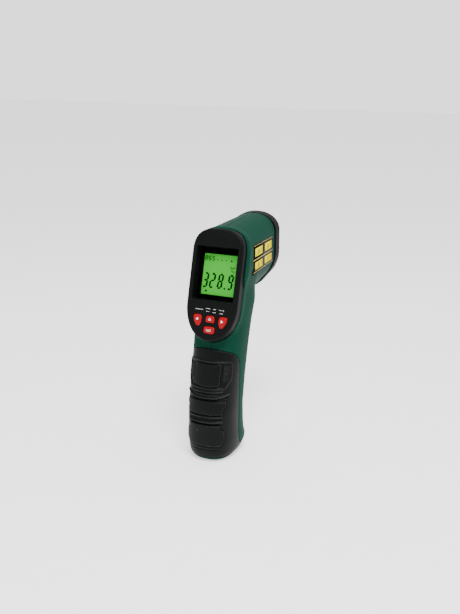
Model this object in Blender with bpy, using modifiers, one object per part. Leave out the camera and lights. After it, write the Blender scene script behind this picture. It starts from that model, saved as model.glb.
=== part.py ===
"""Infrared thermometer, pistol type, as an assembly of separate pieces.

Frame: the origin is the centre of the handle's flat base, +Z is up, +Y is the way the barrel
aims, and X runs across, with the joint between the two housing halves near X = 0.
Every length below is in millimetres and becomes metres in metres().
"""
import math

import bmesh
import bpy
import numpy
from mathutils import Matrix, Vector

# ---------------------------------------------------------------- driving dimensions
GAP = 0.3                       # clearance between pieces that touch
WALL = 2.0                      # housing wall
GRIP_WALL = 1.7                 # rubber grip, in a recess one GAP deeper

DISPLAY_CENTRE = (0.0, 5.5, 124.8)
RECLINE = math.radians(16.3)    # lean of the display face from the vertical
BODY_BACK = 1.5                 # housing's rear plane, measured along the display normal

BEZEL_HALF_WIDTH = 18.3
BEZEL_TOP = 30.4
BEZEL_BOTTOM = -44.5
BEZEL_BASE = 1.8
BEZEL_FACE = 7.2
WINDOW_SIZE = (28.6, 34.7)
WINDOW_CENTRE_UP = 0.45
LCD_VIEW = (25.2, 27.8)
BOARD_SCREW = (12.2, -19.3)     # across and up on the display face

BARREL_FRONT = 65.5             # Y of the housing's front edge
BARREL_TOP_FRONT = 156.2
BARREL_TOP_REAR = 155.5
NOSE_HALF_WIDTH = 16.0
BARREL_TAPER = 0.0715           # half width gained per millimetre towards the rear
RING_LENGTH = 8.0
OPTICS_HEIGHT = 135.0           # Z of the sensor's axis
LASER_HEIGHT = 148.7

# handle sections: height, centre Y, half width, half depth
HANDLE = (
    (0.0, 0.0, 12.6, 16.8),
    (3.0, 0.1, 15.2, 20.2),
    (6.0, 1.2, 16.5, 22.1),
    (8.5, 1.8, 16.9, 22.8),
    (11.0, 1.3, 17.1, 22.6),
    (15.0, 0.1, 17.2, 21.1),
    (22.0, -0.3, 17.1, 20.3),
    (35.0, -0.4, 17.1, 19.6),
    (55.0, 3.5, 17.1, 19.5),
    (74.0, 8.1, 17.4, 19.2),
    (91.0, 12.3, 18.1, 18.5),
    (105.0, 17.3, 18.6, 19.3),
    (118.0, 19.7, 17.5, 18.5),
)
HANDLE_POWER = 2.5
HANDLE_TOP = 118.0              # where it ends inside the barrel
GRIP_CLEAR = 84.0               # Z above which the shells are not thinned for the grip
FLOOR = 4.5

BARREL_KEEL = (                 # lower outline of the barrel: share of half width, share of drop
    (1.0, 0.0),
    (0.985, 0.1),
    (0.93, 0.205),
    (0.8625, 0.3),
    (0.24, 0.861),
    (0.125, 0.955),
    (0.0, 1.0),
)
BARREL_SPRING = 123.5           # Z where the keel starts
KEEL_BOTTOM = 102.6
KEEL_INSET = 1.6                # the keel's flanks slope, so its bottom moves more than an inset

TRIGGER_PIVOT = (27.0, 110.0)   # Y, Z
TRIGGER_HALF_WIDTH = 6.0
TRIGGER_WINDOW = (80.8, 109.6)  # Z
PLUNGER_HEIGHT = 92.0
DOOR_AXIS = (21.6, 8.0)         # Y, Z
DOOR_ROLL = 2.5                 # radius of the door's lower edge about its axis
DOOR_ROLL_HALF = 10.5
DOOR_TOP = 77.7
DOOR_REAR = ((12.6, 8.0), (11.4, 22.0), (11.4, 38.0), (14.8, 56.0), (19.2, DOOR_TOP))   # Y, Z
CASE_SCREWS = ((59.5, 121.0), (25.0, 147.5), (9.5, 77.0), (-7.0, 46.0), (-9.0, 15.0))
BULKHEADS = (41.0, 57.5)        # Y of the two walls that hold the sensor barrel
BULKHEAD_THICKNESS = 2.0
LABEL_SPAN = (18.5, 60.5)       # Y of its rear and front edges
CELL_RADIUS = 5.25
CELL_LENGTH = 44.5
CELL_OFFSET = 5.5
CELL_Y = 7.0

ARC_STEPS = 6                   # facets in a quarter of an outline
ROUND = 20                      # facets of a small round piece
BEYOND = 60.0                   # how far a cutter runs past the object


# ---------------------------------------------------------------- scene
for old in list(bpy.data.objects):
    bpy.data.objects.remove(old, do_unlink=True)

parts = bpy.data.collections.new("infrared_thermometer")
cutters = bpy.data.collections.new("cutters")
bpy.context.scene.collection.children.link(parts)
bpy.context.scene.collection.children.link(cutters)

display_frame = bpy.data.objects.new("display_frame", None)
display_frame.location = [value * 0.001 for value in DISPLAY_CENTRE]
display_frame.rotation_euler = (math.pi / 2 - RECLINE, 0.0, 0.0)
parts.objects.link(display_frame)


def metres(point):
    """A point in millimetres as a Vector in metres."""
    return Vector(point) * 0.001


def material(name, colour, roughness, metallic=0.0):
    made = bpy.data.materials.new(name)
    made.use_nodes = True
    shader = made.node_tree.nodes["Principled BSDF"]
    shader.inputs["Base Color"].default_value = (*colour, 1.0)
    shader.inputs["Roughness"].default_value = roughness
    shader.inputs["Metallic"].default_value = metallic
    made.diffuse_color = (*colour, 1.0)
    return made


GREEN = material("green_plastic", (0.016, 0.095, 0.062), 0.42)
BLACK = material("black_plastic", (0.014, 0.014, 0.015), 0.4)
RUBBER = material("grip_rubber", (0.022, 0.022, 0.023), 0.7)
RING_GREY = material("ring_plastic", (0.032, 0.030, 0.033), 0.5)
CLEAR = material("clear_plastic", (0.8, 0.85, 0.85), 0.05)
LCD = material("lcd_glass", (0.13, 0.42, 0.09), 0.3)
RED = material("key_red", (0.55, 0.02, 0.02), 0.4)
LABEL = material("label_yellow", (0.83, 0.7, 0.14), 0.5)
WHITE = material("white_plastic", (0.8, 0.8, 0.78), 0.4)
BOARD = material("circuit_board", (0.01, 0.16, 0.05), 0.5)
STEEL = material("steel", (0.6, 0.6, 0.62), 0.35, 1.0)
BRASS = material("brass", (0.75, 0.52, 0.2), 0.35, 1.0)
GERMANIUM = material("lens_dark", (0.08, 0.07, 0.08), 0.15)
CELL = material("cell_wrap", (0.05, 0.08, 0.3), 0.35)
WIRE_RED = material("wire_red", (0.5, 0.01, 0.01), 0.5)
WIRE_BLACK = material("wire_black", (0.01, 0.01, 0.01), 0.5)


# ---------------------------------------------------------------- making shapes
def place(name, mesh, paint=None, parent=None):
    """Link a mesh as a part if it has a material, or else as a hidden cutter."""
    made = bpy.data.objects.new(name, mesh)
    made.parent = parent
    if paint:
        mesh.materials.append(paint)
        parts.objects.link(made)
    else:
        cutters.objects.link(made)
        made.hide_render = True
        made.display_type = "WIRE"
    return made


def finish_mesh(name, shape):
    """Turn a bmesh into a mesh with its faces pointing out."""
    bmesh.ops.recalc_face_normals(shape, faces=shape.faces)
    mesh = bpy.data.meshes.new(name)
    shape.to_mesh(mesh)
    shape.free()
    return mesh


def box(name, low, high, paint=None, parent=None):
    """A box between two corners."""
    low, high = metres(low), metres(high)
    shape = bmesh.new()
    bmesh.ops.create_cube(shape, size=1.0)
    size = high - low
    bmesh.ops.scale(shape, vec=size, verts=shape.verts)
    bmesh.ops.translate(shape, vec=(low + high) / 2, verts=shape.verts)
    return place(name, finish_mesh(name, shape), paint, parent)


def cylinder(name, radius, start, end, paint=None, parent=None, sides=ROUND):
    """A round bar from one point to another."""
    start, end = metres(start), metres(end)
    shape = bmesh.new()
    bmesh.ops.create_cone(shape, cap_ends=True, segments=sides, radius1=radius * 0.001,
                          radius2=radius * 0.001, depth=(end - start).length)
    turn = (end - start).to_track_quat("Z", "Y").to_matrix().to_4x4()
    bmesh.ops.transform(shape, matrix=Matrix.Translation((start + end) / 2) @ turn, verts=shape.verts)
    made = place(name, finish_mesh(name, shape), paint, parent)
    made.data.shade_smooth()
    made.data.set_sharp_from_angle(angle=math.radians(40))
    return made


def turned(name, profile, start, toward, paint, sides=ROUND, parent=None):
    """A piece turned about the line from start toward an axis direction.

    profile is (radius, distance) pairs: down the outer side, and back up the bore if it has one.
    """
    shape = bmesh.new()
    verts = [shape.verts.new(metres((radius, 0.0, distance))) for radius, distance in profile]
    hollow = all(radius > 0.0 for radius, _ in profile)
    pairs = list(zip(verts, verts[1:])) + ([(verts[-1], verts[0])] if hollow else [])
    for pair in pairs:
        shape.edges.new(pair)
    mesh = bpy.data.meshes.new(name)
    shape.to_mesh(mesh)
    shape.free()
    made = place(name, mesh, paint, parent)
    made.location = metres(start)
    made.rotation_euler = Vector(toward).to_track_quat("Z", "Y").to_euler()
    screw = made.modifiers.new("turn", "SCREW")
    screw.axis = "Z"
    screw.steps = sides
    screw.render_steps = sides
    screw.use_merge_vertices = True
    screw.merge_threshold = 0.00001
    return made


def loft(name, sections, paint=None, parent=None):
    """A closed skin through sections that have the same number of points."""
    shape = bmesh.new()
    rings = [[shape.verts.new(metres(point)) for point in section] for section in sections]
    count = len(rings[0])
    for ring, after in zip(rings, rings[1:]):
        for i in range(count):
            j = (i + 1) % count
            shape.faces.new((ring[i], ring[j], after[j], after[i]))
    bmesh.ops.triangulate(shape, faces=shape.faces)     # the quads of a loft aren't flat
    shape.faces.new(rings[0][::-1])
    shape.faces.new(rings[-1])
    return place(name, finish_mesh(name, shape), paint, parent)


def slab(name, outline, half_width, paint=None):
    """A side view outline of (Y, Z) points, extruded along X to both sides."""
    sections = [[(x, y, z) for y, z in outline] for x in (-half_width, half_width)]
    return loft(name, sections, paint)


def as_part(made, paint):
    """Turn a cutter into a part."""
    made.data.materials.append(paint)
    cutters.objects.unlink(made)
    parts.objects.link(made)
    made.hide_render = False
    made.display_type = "TEXTURED"
    return made


def boolean(target, tool, operation="DIFFERENCE", solver="EXACT"):
    modifier = target.modifiers.new(tool.name, "BOOLEAN")
    modifier.operation = operation
    modifier.solver = solver
    modifier.object = tool
    return target


def soften(target, width, segments=1, angle=40):
    """Round the edges of a piece."""
    modifier = target.modifiers.new("edges", "BEVEL")
    modifier.width = width * 0.001
    modifier.segments = segments
    modifier.limit_method = "ANGLE"
    modifier.angle_limit = math.radians(angle)
    return target


def smooth_route(points, spacing):
    """Points at an even spacing on a smooth curve through a route's own points."""
    points = [numpy.array(point, dtype=float) for point in points]
    padded = [2 * points[0] - points[1], *points, 2 * points[-1] - points[-2]]
    dense = []
    for a, b, c, d in zip(padded, padded[1:], padded[2:], padded[3:]):
        for t in numpy.linspace(0.0, 1.0, 24, endpoint=False):
            dense.append(0.5 * (2 * b + (c - a) * t + (2 * a - 5 * b + 4 * c - d) * t ** 2
                                + (3 * b - a - 3 * c + d) * t ** 3))
    dense.append(points[-1])
    dense = numpy.array(dense)
    along = numpy.concatenate([[0.0], numpy.cumsum(numpy.linalg.norm(numpy.diff(dense, axis=0), axis=1))])
    stations = numpy.linspace(0.0, along[-1], max(3, round(along[-1] / spacing) + 1))
    return [tuple(numpy.interp(stations, along, dense[:, k])[i] for k in range(3))
            for i in range(len(stations))]


def tube(name, points, radius, paint, resolution=2):
    """A round wire through points, as a curve with a bevel depth and filled caps."""
    curve = bpy.data.curves.new(name, "CURVE")
    curve.dimensions = "3D"
    curve.bevel_depth = radius * 0.001
    curve.bevel_resolution = resolution
    curve.use_fill_caps = True
    spline = curve.splines.new("POLY")
    spline.points.add(len(points) - 1)
    for target, point in zip(spline.points, points):
        target.co = (*metres(point), 1.0)
    curve.materials.append(paint)
    made = bpy.data.objects.new(name, curve)
    parts.objects.link(made)
    return made


# ---------------------------------------------------------------- outlines
def quarter(across, up, power, steps=ARC_STEPS):
    """A quarter of a superellipse, from (across, 0) to (0, up)."""
    angles = [math.pi / 2 * i / steps for i in range(steps + 1)]
    return [(across * math.cos(a) ** (2 / power), up * math.sin(a) ** (2 / power)) for a in angles]


def capped_outline(half_width, top, upper, lower, bottom, top_power, bottom_power, steps=ARC_STEPS):
    """A closed outline with straight sides from lower to upper and a round cap at each end."""
    above = [(x, upper + y) for x, y in quarter(half_width, top - upper, top_power, steps)]
    below = [(x, lower - y) for x, y in quarter(half_width, lower - bottom, bottom_power, steps)]
    right = below[::-1] + above
    left = [(-x, y) for x, y in right[-2:0:-1]]
    return right + left


def barrel_outline(half_width, top, upper, bottom, top_power=2.15):
    """The barrel's closed outline: a round top, straight sides and a keel."""
    above = [(x, upper + z) for x, z in quarter(half_width, top - upper, top_power)]
    drop = BARREL_SPRING - bottom
    below = [(half_width * across, BARREL_SPRING - drop * down) for across, down in BARREL_KEEL]
    right = below[::-1] + above
    left = [(-x, z) for x, z in right[-2:0:-1]]
    return right + left


def bezel_outline(inset):
    """The bezel's egg shape on the display face, drawn in by an inset."""
    return capped_outline(BEZEL_HALF_WIDTH - inset, BEZEL_TOP - inset, 13.5, -19.5,
                          BEZEL_BOTTOM + inset, 2.8, 2.1)


def handle_at(height):
    """Centre Y, half width and half depth of the handle at a height."""
    heights = [row[0] for row in HANDLE]
    return [numpy.interp(height, heights, [row[k] for row in HANDLE]) for k in (1, 2, 3)]


def handle_section(height, inset):
    centre, across, deep = handle_at(height)
    corner = quarter(across - inset, deep - inset, HANDLE_POWER)
    right = [(x, -y) for x, y in corner[::-1]] + corner[1:]
    left = [(-x, y) for x, y in right[-2:0:-1]]
    return [(x, centre + y, height) for x, y in right + left]


def handle_loft(name, inset, low, high, upper_inset=None):
    """The handle's skin drawn in by an inset, from one height to another."""
    heights = [low] + [row[0] for row in HANDLE if low < row[0] < high] + [high]
    sections = []
    for height in heights:
        thinner = upper_inset is not None and height > GRIP_CLEAR
        sections.append(handle_section(height, upper_inset if thinner else inset))
    return loft(name, sections)


def barrel_half_width(y):
    return NOSE_HALF_WIDTH + BARREL_TAPER * (BARREL_FRONT - y)


def barrel_section(plane_y, top, upper, bottom, inset):
    """A section of the barrel; plane_y gives its Y at each height."""
    flat = barrel_outline(1.0, top - inset, upper, bottom + inset * KEEL_INSET)
    return [(x * (barrel_half_width(plane_y(z)) - inset), plane_y(z), z) for x, z in flat]


def barrel_loft(name, inset, rear, front):
    """The barrel's skin, from a plane parallel to the display to an upright plane."""
    _, centre_y, centre_z = DISPLAY_CENTRE

    def rear_plane(z):
        return centre_y + ((z - centre_z) * math.sin(RECLINE) - rear) / math.cos(RECLINE)

    return loft(name, [barrel_section(rear_plane, BARREL_TOP_REAR, 139.8, KEEL_BOTTOM + 1.5, inset),
                       barrel_section(lambda z: front, BARREL_TOP_FRONT, 142.8, KEEL_BOTTOM, inset)])


def on_display(outline, height):
    """An outline of (u, v) points at a height over the display plane."""
    return [(u, v, height) for u, v in outline]


def nose_section(y, half_width, inset):
    """A section of the nose, a little proud of the barrel at its top and more at its keel."""
    outline = barrel_outline(half_width - inset, BARREL_TOP_FRONT + 0.2 - inset, 143.3,
                             KEEL_BOTTOM - 0.7 + inset * KEEL_INSET)
    return [(x, y, z) for x, z in outline]


# ---------------------------------------------------------------- housing
def grip_region(name, shrink):
    """The side view area that the rubber grip covers."""
    front, top = 1.0 - shrink, 80.5 - shrink
    low = 1.3 + shrink
    outline = [(-BEYOND, 4.4 + shrink), (-16.0, 2.9 + shrink), (1.0, low), (13.0 - shrink, low),
               (13.0 - shrink, 4.0), (5.0, 6.6), (front, 10.0), (front - 1.4, 16.0), (front - 1.2, 30.0),
               (front - 0.5, 50.0), (front + 0.4, 62.0), (front - 0.3, 69.5), (front - 3.0, 73.6),
               (front - 7.5, 76.0), (-13.0, top), (-BEYOND, top + 4.0)]
    return slab(name, outline, BEYOND)


def door_region(name, shrink):
    """The side view area that the battery door covers."""
    y, z = DOOR_AXIS
    top = DOOR_TOP - shrink
    rear = [(edge + shrink, height) for edge, height in DOOR_REAR[:-1]]
    rear.append((DOOR_REAR[-1][0] + shrink, top))
    outline = rear + [(BEYOND, top), (BEYOND, z)]
    roll_half = DOOR_ROLL_HALF - shrink
    roll = cylinder(f"{name}_roll", DOOR_ROLL - shrink, (-roll_half, y, z), (roll_half, y, z))
    return boolean(slab(name, outline, BEYOND), roll, "UNION")


def housing():
    """Both shells, cut from one body of the barrel, the handle and the collar of the bezel."""
    body = handle_loft("body", 0.0, 0.0, HANDLE_TOP)
    boolean(body, barrel_loft("barrel_outside", 0.0, 3.0, BARREL_FRONT), "UNION")
    collar = loft("collar", [on_display(bezel_outline(-0.9), 5.0), on_display(bezel_outline(-0.9), 0.8),
                             on_display(bezel_outline(1.6), -16.0)], parent=display_frame)
    boolean(body, collar, "UNION")
    boolean(body, box("rear_cut", (-BEYOND, -BEYOND, BODY_BACK), (BEYOND, BEYOND, BEYOND),
                      parent=display_frame))

    cavity = handle_loft("cavity", WALL + GRIP_WALL, FLOOR, HANDLE_TOP - 0.5, upper_inset=WALL + 0.4)
    battery_room = handle_loft("battery_room", WALL, 6.0, 90.0)
    boolean(battery_room, box("battery_room_limits", (-BEYOND, 4.1, 9.6), (BEYOND, BEYOND, 81.3)),
            "INTERSECT")
    boolean(cavity, battery_room, "UNION")
    boolean(cavity, barrel_loft("barrel_inside", WALL, 4.0, BARREL_FRONT + 10.0), "UNION")
    boolean(cavity, loft("collar_inside", [on_display(bezel_outline(1.7), 6.0),
                                           on_display(bezel_outline(1.7), -4.0),
                                           on_display(bezel_outline(5.0), -14.0)],
                         parent=display_frame), "UNION")
    for index, y in enumerate(BULKHEADS):
        half = BULKHEAD_THICKNESS / 2
        boolean(cavity, box(f"bulkhead_{index}", (-BEYOND, y - half, 100.0), (BEYOND, y + half, 170.0)))
    for index, (y, z) in enumerate(CASE_SCREWS):
        boolean(cavity, cylinder(f"boss_{index}", 3.2, (-BEYOND, y, z), (BEYOND, y, z), sides=16))
    for side in (-1, 1):
        boolean(cavity, cylinder(f"pivot_boss_{side}", 3.2, (side * 6.6, *TRIGGER_PIVOT),
                                 (side * BEYOND, *TRIGGER_PIVOT), sides=16))
    boolean(body, cavity)

    boolean(body, cylinder("optics_hole", 9.8, (0, 30, OPTICS_HEIGHT), (0, 90, OPTICS_HEIGHT), sides=28))
    boolean(body, cylinder("laser_hole", 3.6, (0, 38, LASER_HEIGHT), (0, 90, LASER_HEIGHT)))
    skin = handle_loft("skin_under_grip", GRIP_WALL + GAP, -5.0, 100.0)
    boolean(body, boolean(grip_region("grip_recess", 0.0), skin))
    boolean(body, door_opening())
    half = TRIGGER_HALF_WIDTH + 0.5
    low, high = TRIGGER_WINDOW
    boolean(body, box("trigger_window", (-half, 24.0, low), (half, 40.0, high)))
    boolean(body, cylinder("trigger_pin_hole", 1.55, (-12.0, *TRIGGER_PIVOT), (12.0, *TRIGGER_PIVOT)))
    boolean(body, label_plate("label_pocket", -0.5, 5.0, 0.3))
    boolean(body, door_lugs(), "UNION")
    boolean(body, cylinder("door_pin_hole", 1.1, (-7.0, *DOOR_AXIS), (7.0, *DOOR_AXIS), sides=12))
    for index, (y, z) in enumerate(CASE_SCREWS):
        boolean(body, cylinder(f"head_hole_{index}", 2.9, (-BEYOND, y, z), (-10.2, y, z), sides=16))
        boolean(body, cylinder(f"shank_hole_{index}", 1.7, (-11.0, y, z), (9.0, y, z), sides=12))

    # the left shell's floor carries a tongue across the middle plane; EXACT loses the halves of a
    # body with this many cuts, and MANIFOLD keeps them
    tongue = ((-1.0, -8.0, -1.0), (5.0, 8.0, 3.6))
    left = box("housing_left", (-BEYOND, -BEYOND, -1.0), (-GAP / 2, 90.0, 170.0), GREEN)
    boolean(left, box("tongue", *tongue), "UNION")
    boolean(left, body, "INTERSECT", "MANIFOLD")
    right = box("housing_right", (GAP / 2, -BEYOND, -1.0), (BEYOND, 90.0, 170.0), GREEN)
    low = [value - GAP for value in tongue[0]]
    high = [value + GAP for value in tongue[1]]
    boolean(right, box("groove", low, high))
    boolean(right, body, "INTERSECT", "MANIFOLD")


def door_opening():
    """The opening that the battery door closes."""
    y, z = DOOR_AXIS
    edge = box("door_edge_room", (-BEYOND, 10.0, z - GAP), (BEYOND, BEYOND, z + 1.0))
    return boolean(door_region("door_opening", -GAP), edge, "UNION")


def door_lugs():
    """Two lugs at the handle's lower front edge that hold the door's pin."""
    y, z = DOOR_AXIS
    lugs = []
    for side in (-1, 1):
        near, far = sorted((side * 4.3, side * 6.6))
        lug = cylinder(f"lug_{side}", 1.5, (near, y, z), (far, y, z), sides=16)
        foot = box(f"lug_foot_{side}", (near, y - 3.2, 4.0), (far, y - 0.8, z))
        lugs.append(boolean(lug, foot, "UNION"))
    return boolean(lugs[0], lugs[1], "UNION")


def label_plate(name, inner, outer, grow, paint=None):
    """The label's plate on the barrel's tapered right side."""
    rear, front = LABEL_SPAN
    outline = ((rear - grow, 124.6 - grow), (front + grow, 123.8 - grow),
               (front + grow, 141.2 + grow), (rear - grow, 143.2 + grow))
    sections = [[(barrel_half_width(y) + offset, y, z) for y, z in outline] for offset in (inner, outer)]
    return loft(name, sections, paint)


def grip():
    shell = as_part(grip_region("rear_grip", GAP), RUBBER)
    boolean(shell, handle_loft("grip_outside", 0.0, -2.0, 100.0), "INTERSECT")
    boolean(shell, handle_loft("grip_inside", GRIP_WALL, -5.0, 100.0))


# ---------------------------------------------------------------- display and keys
KEYS = {
    # name: centre u, top v, lean, outline (half width, upper, lower, bottom, top power, bottom power)
    "left": (-9.1, -27.0, 1.0, (3.0, -1.5, -2.6, -7.9, 3.0, 1.7)),
    "right": (9.7, -27.0, -1.0, (3.0, -1.5, -2.6, -7.9, 3.0, 1.7)),
    "up": (0.3, -27.1, 0.0, (3.25, -1.9, -3.4, -4.75, 2.4, 4.0)),
    "down": (0.3, -34.3, 0.0, (4.0, -1.7, -3.2, -4.9, 3.0, 3.0)),
}
KEY_BASE, KEY_SHOULDER, KEY_TOP = 4.4, 7.3, 7.8
KEY_FLANGE = 0.9


def key_outline(key, grow):
    """A key's outline; a lean moves its lower tip sideways by that much."""
    centre, top, lean, (half_width, upper, lower, bottom, top_power, bottom_power) = KEYS[key]
    local = capped_outline(half_width + grow, grow, upper, lower, bottom - grow, top_power, bottom_power, 4)
    return [(centre + u + lean * v / bottom, top + v) for u, v in local]


def bezel():
    """The bezel, with a tray behind its window that reaches down to the display."""
    rings = ((0.0, BEZEL_BASE), (0.0, BEZEL_FACE - 1.8), (0.5, BEZEL_FACE - 0.6), (1.7, BEZEL_FACE))
    shell = loft("display_bezel", [on_display(bezel_outline(inset), height) for inset, height in rings],
                 BLACK, display_frame)
    boolean(shell, box("bezel_tray", (-15.9, -17.7, -0.2), (15.9, 18.6, BEZEL_BASE + 0.5),
                       parent=display_frame), "UNION")
    across, up = (size / 2 for size in WINDOW_SIZE)
    low, high = WINDOW_CENTRE_UP - up, WINDOW_CENTRE_UP + up
    boolean(shell, box("window_pocket", (-across, low, 0.9), (across, high, 11.0), parent=display_frame))
    across, up = (size / 2 for size in LCD_VIEW)
    boolean(shell, box("lcd_opening", (-across, -up, -3.0), (across, up, 3.0), parent=display_frame))
    pocket = [on_display(capped_outline(16.0, -21.5, -23.0, -23.4, -42.0, 8.0, 2.1), height)
              for height in (BEZEL_BASE - 3.0, BEZEL_FACE - 1.6)]
    boolean(shell, loft("key_pocket", pocket, parent=display_frame))
    for key in KEYS:
        hole = [on_display(key_outline(key, GAP), height) for height in (BEZEL_BASE, BEZEL_FACE + 3.0)]
        boolean(shell, loft(f"{key}_key_hole", hole, parent=display_frame))
    for side in (-1, 1):
        u, v = side * BOARD_SCREW[0], BOARD_SCREW[1]
        boolean(shell, cylinder(f"bezel_screw_hole_{side}", 1.1, (u, v, -3.0), (u, v, 4.5),
                                parent=display_frame, sides=12))


def keys():
    """Each key's cap, flange and stem, and the switch that it presses."""
    for key, (centre, top, lean, shape) in KEYS.items():
        flange = [on_display(key_outline(key, 0.4), height) for height in (KEY_BASE, KEY_BASE + KEY_FLANGE)]
        cap = loft(f"key_{key}", flange, RED, display_frame)
        rings = ((0.0, KEY_BASE + 0.5), (0.0, KEY_SHOULDER), (-0.7, KEY_TOP))
        sections = [on_display(key_outline(key, grow), height) for grow, height in rings]
        boolean(cap, loft(f"{key}_cap", sections, parent=display_frame), "UNION")
        u, v = centre + lean / 2, top + shape[3] / 2 + 0.4
        boolean(cap, box(f"{key}_stem", (u - 1.3, v - 1.3, -1.4), (u + 1.3, v + 1.3, KEY_BASE + 0.5),
                         parent=display_frame), "UNION")
        switch = box(f"key_switch_{key}", (u - 3.0, v - 3.0, -5.9), (u + 3.0, v + 3.0, -3.4), BLACK,
                     display_frame)
        boolean(switch, cylinder(f"{key}_switch_button", 1.6, (u, v, -4.0), (u, v, -2.5),
                                 parent=display_frame, sides=12), "UNION")


def display():
    across, up = (size / 2 - GAP for size in WINDOW_SIZE)
    low, high = WINDOW_CENTRE_UP - up, WINDOW_CENTRE_UP + up
    soften(box("display_window", (-across, low, 1.2), (across, high, 2.3), CLEAR, display_frame), 0.2)
    box("lcd_panel", (-15.4, -16.8, -3.2), (15.4, 16.8, -0.5), LCD, display_frame)
    box("lcd_backlight", (-14.6, -15.6, -5.8), (14.6, 15.6, -3.5), WHITE, display_frame)
    box("lcd_connector", (-10.0, -18.8, -5.8), (10.0, -17.2, -1.2), RUBBER, display_frame)


def main_board():
    thickness = (-7.8, -6.2)
    right = [(9.0, -37.0), (13.0, -27.0), (14.4, -14.0), (14.6, 12.0), (9.0, 24.0)]
    outline = right + [(-u, v) for u, v in right[::-1]]
    board = loft("main_board", [on_display(outline, height) for height in thickness], BOARD, display_frame)
    for name, side in (("left", -1), ("right", 1)):
        u, v = side * BOARD_SCREW[0], BOARD_SCREW[1]
        boolean(board, cylinder(f"board_hole_{name}", 1.1, (u, v, -12.0), (u, v, 0.0), parent=display_frame,
                                sides=12))
        turned_screw(f"board_screw_{name}", (u, v, -9.2), (0.0, 0.0, 1.0), 1.6, 1.0, 0.8, 12.6,
                     display_frame)
    box("main_chip", (-6.0, -8.0, -9.7), (6.0, 4.0, -8.1), BLACK, display_frame)
    box("flex_socket", (-7.0, 6.0, -10.3), (7.0, 9.5, -8.1), WHITE, display_frame)
    cylinder("buzzer", 5.5, (0.0, 17.8, -8.1), (0.0, 17.8, -13.5), BLACK, display_frame)


# ---------------------------------------------------------------- screws
def turned_screw(name, start, toward, head_radius, head_height, shank_radius, length, parent=None):
    """A screw whose head starts at a point and whose shank runs toward a direction."""
    tip = head_height + length
    shank = [(0.0, tip), (shank_radius * 0.5, tip), (shank_radius, tip - 1.0), (shank_radius, head_height)]
    head = [(head_radius, head_height), (head_radius, 0.3), (head_radius - 0.3, 0.0), (0.0, 0.0)]
    return turned(name, shank + head, start, toward, STEEL, 12, parent)


def case_screws():
    for index, (y, z) in enumerate(CASE_SCREWS):
        turned_screw(f"case_screw_{index + 1}", (-12.3, y, z), (1.0, 0.0, 0.0), 2.6, 1.8, 1.4, 18.6)


# ---------------------------------------------------------------- nose and optics
def nose():
    rear, front = BARREL_FRONT + GAP, BARREL_FRONT + GAP + RING_LENGTH
    half = NOSE_HALF_WIDTH + 1.0
    sections = [nose_section(rear, half - 0.2, 0.0), nose_section(rear + 1.0, half, 0.0),
                nose_section(front - 1.2, half, 0.0), nose_section(front, half, 1.1)]
    ring = loft("nose_ring", sections, RING_GREY)
    boolean(ring, loft("ring_bore", [nose_section(y, half, 2.4) for y in (rear - 5.0, front + 5.0)]))
    plate = loft("nose_plate", [nose_section(y, half, 2.7) for y in (rear + 2.5, rear + 5.0)], BLACK)
    boolean(plate, cylinder("plate_sensor_hole", 9.8, (0, 60, OPTICS_HEIGHT), (0, 90, OPTICS_HEIGHT),
                            sides=28))
    boolean(plate, cylinder("plate_laser_hole", 2.6, (0, 60, LASER_HEIGHT), (0, 90, LASER_HEIGHT)))


def optics():
    rear, front = 31.5, BARREL_FRONT + 6.5
    length = front - rear
    along = (0.0, 1.0, 0.0)
    axis = (0.0, rear, OPTICS_HEIGHT)
    outside = [(9.5, length - 0.6), (9.5, 0.0)]
    bore = [(4.9, 0.0), (4.9, 6.0), (6.5, 6.0), (6.5, 28.0), (7.9, 28.0), (7.9, 31.0), (8.9, length)]
    turned("ir_tube", [(9.1, length)] + outside + bore, axis, along, BLACK, 28)
    turned("ir_lens", [(0.0, 30.6), (4.0, 30.3), (7.5, 29.4), (7.5, 28.3), (0.0, 28.3)], axis, along,
           GERMANIUM, 24)
    can = [(0.0, 5.4), (4.0, 5.4), (4.2, 5.2), (4.2, 1.0), (4.6, 1.0), (4.6, 0.2), (0.0, 0.2)]
    turned("thermopile", can, axis, along, STEEL, 20)
    box("sensor_board", (-9.0, rear - 1.6, OPTICS_HEIGHT - 9.0), (9.0, rear - 0.4, OPTICS_HEIGHT + 9.0),
        BOARD)
    laser_rear = 47.5
    turned("laser_module", [(0.0, 15.5), (2.6, 15.5), (3.2, 15.0), (3.2, 1.0), (2.4, 0.0), (0.0, 0.0)],
           (0.0, laser_rear, LASER_HEIGHT), along, BRASS, 20)
    cylinder("laser_lens", 2.2, (0, laser_rear + 15.8, LASER_HEIGHT), (0, laser_rear + 17.0, LASER_HEIGHT),
             CLEAR)


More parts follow.
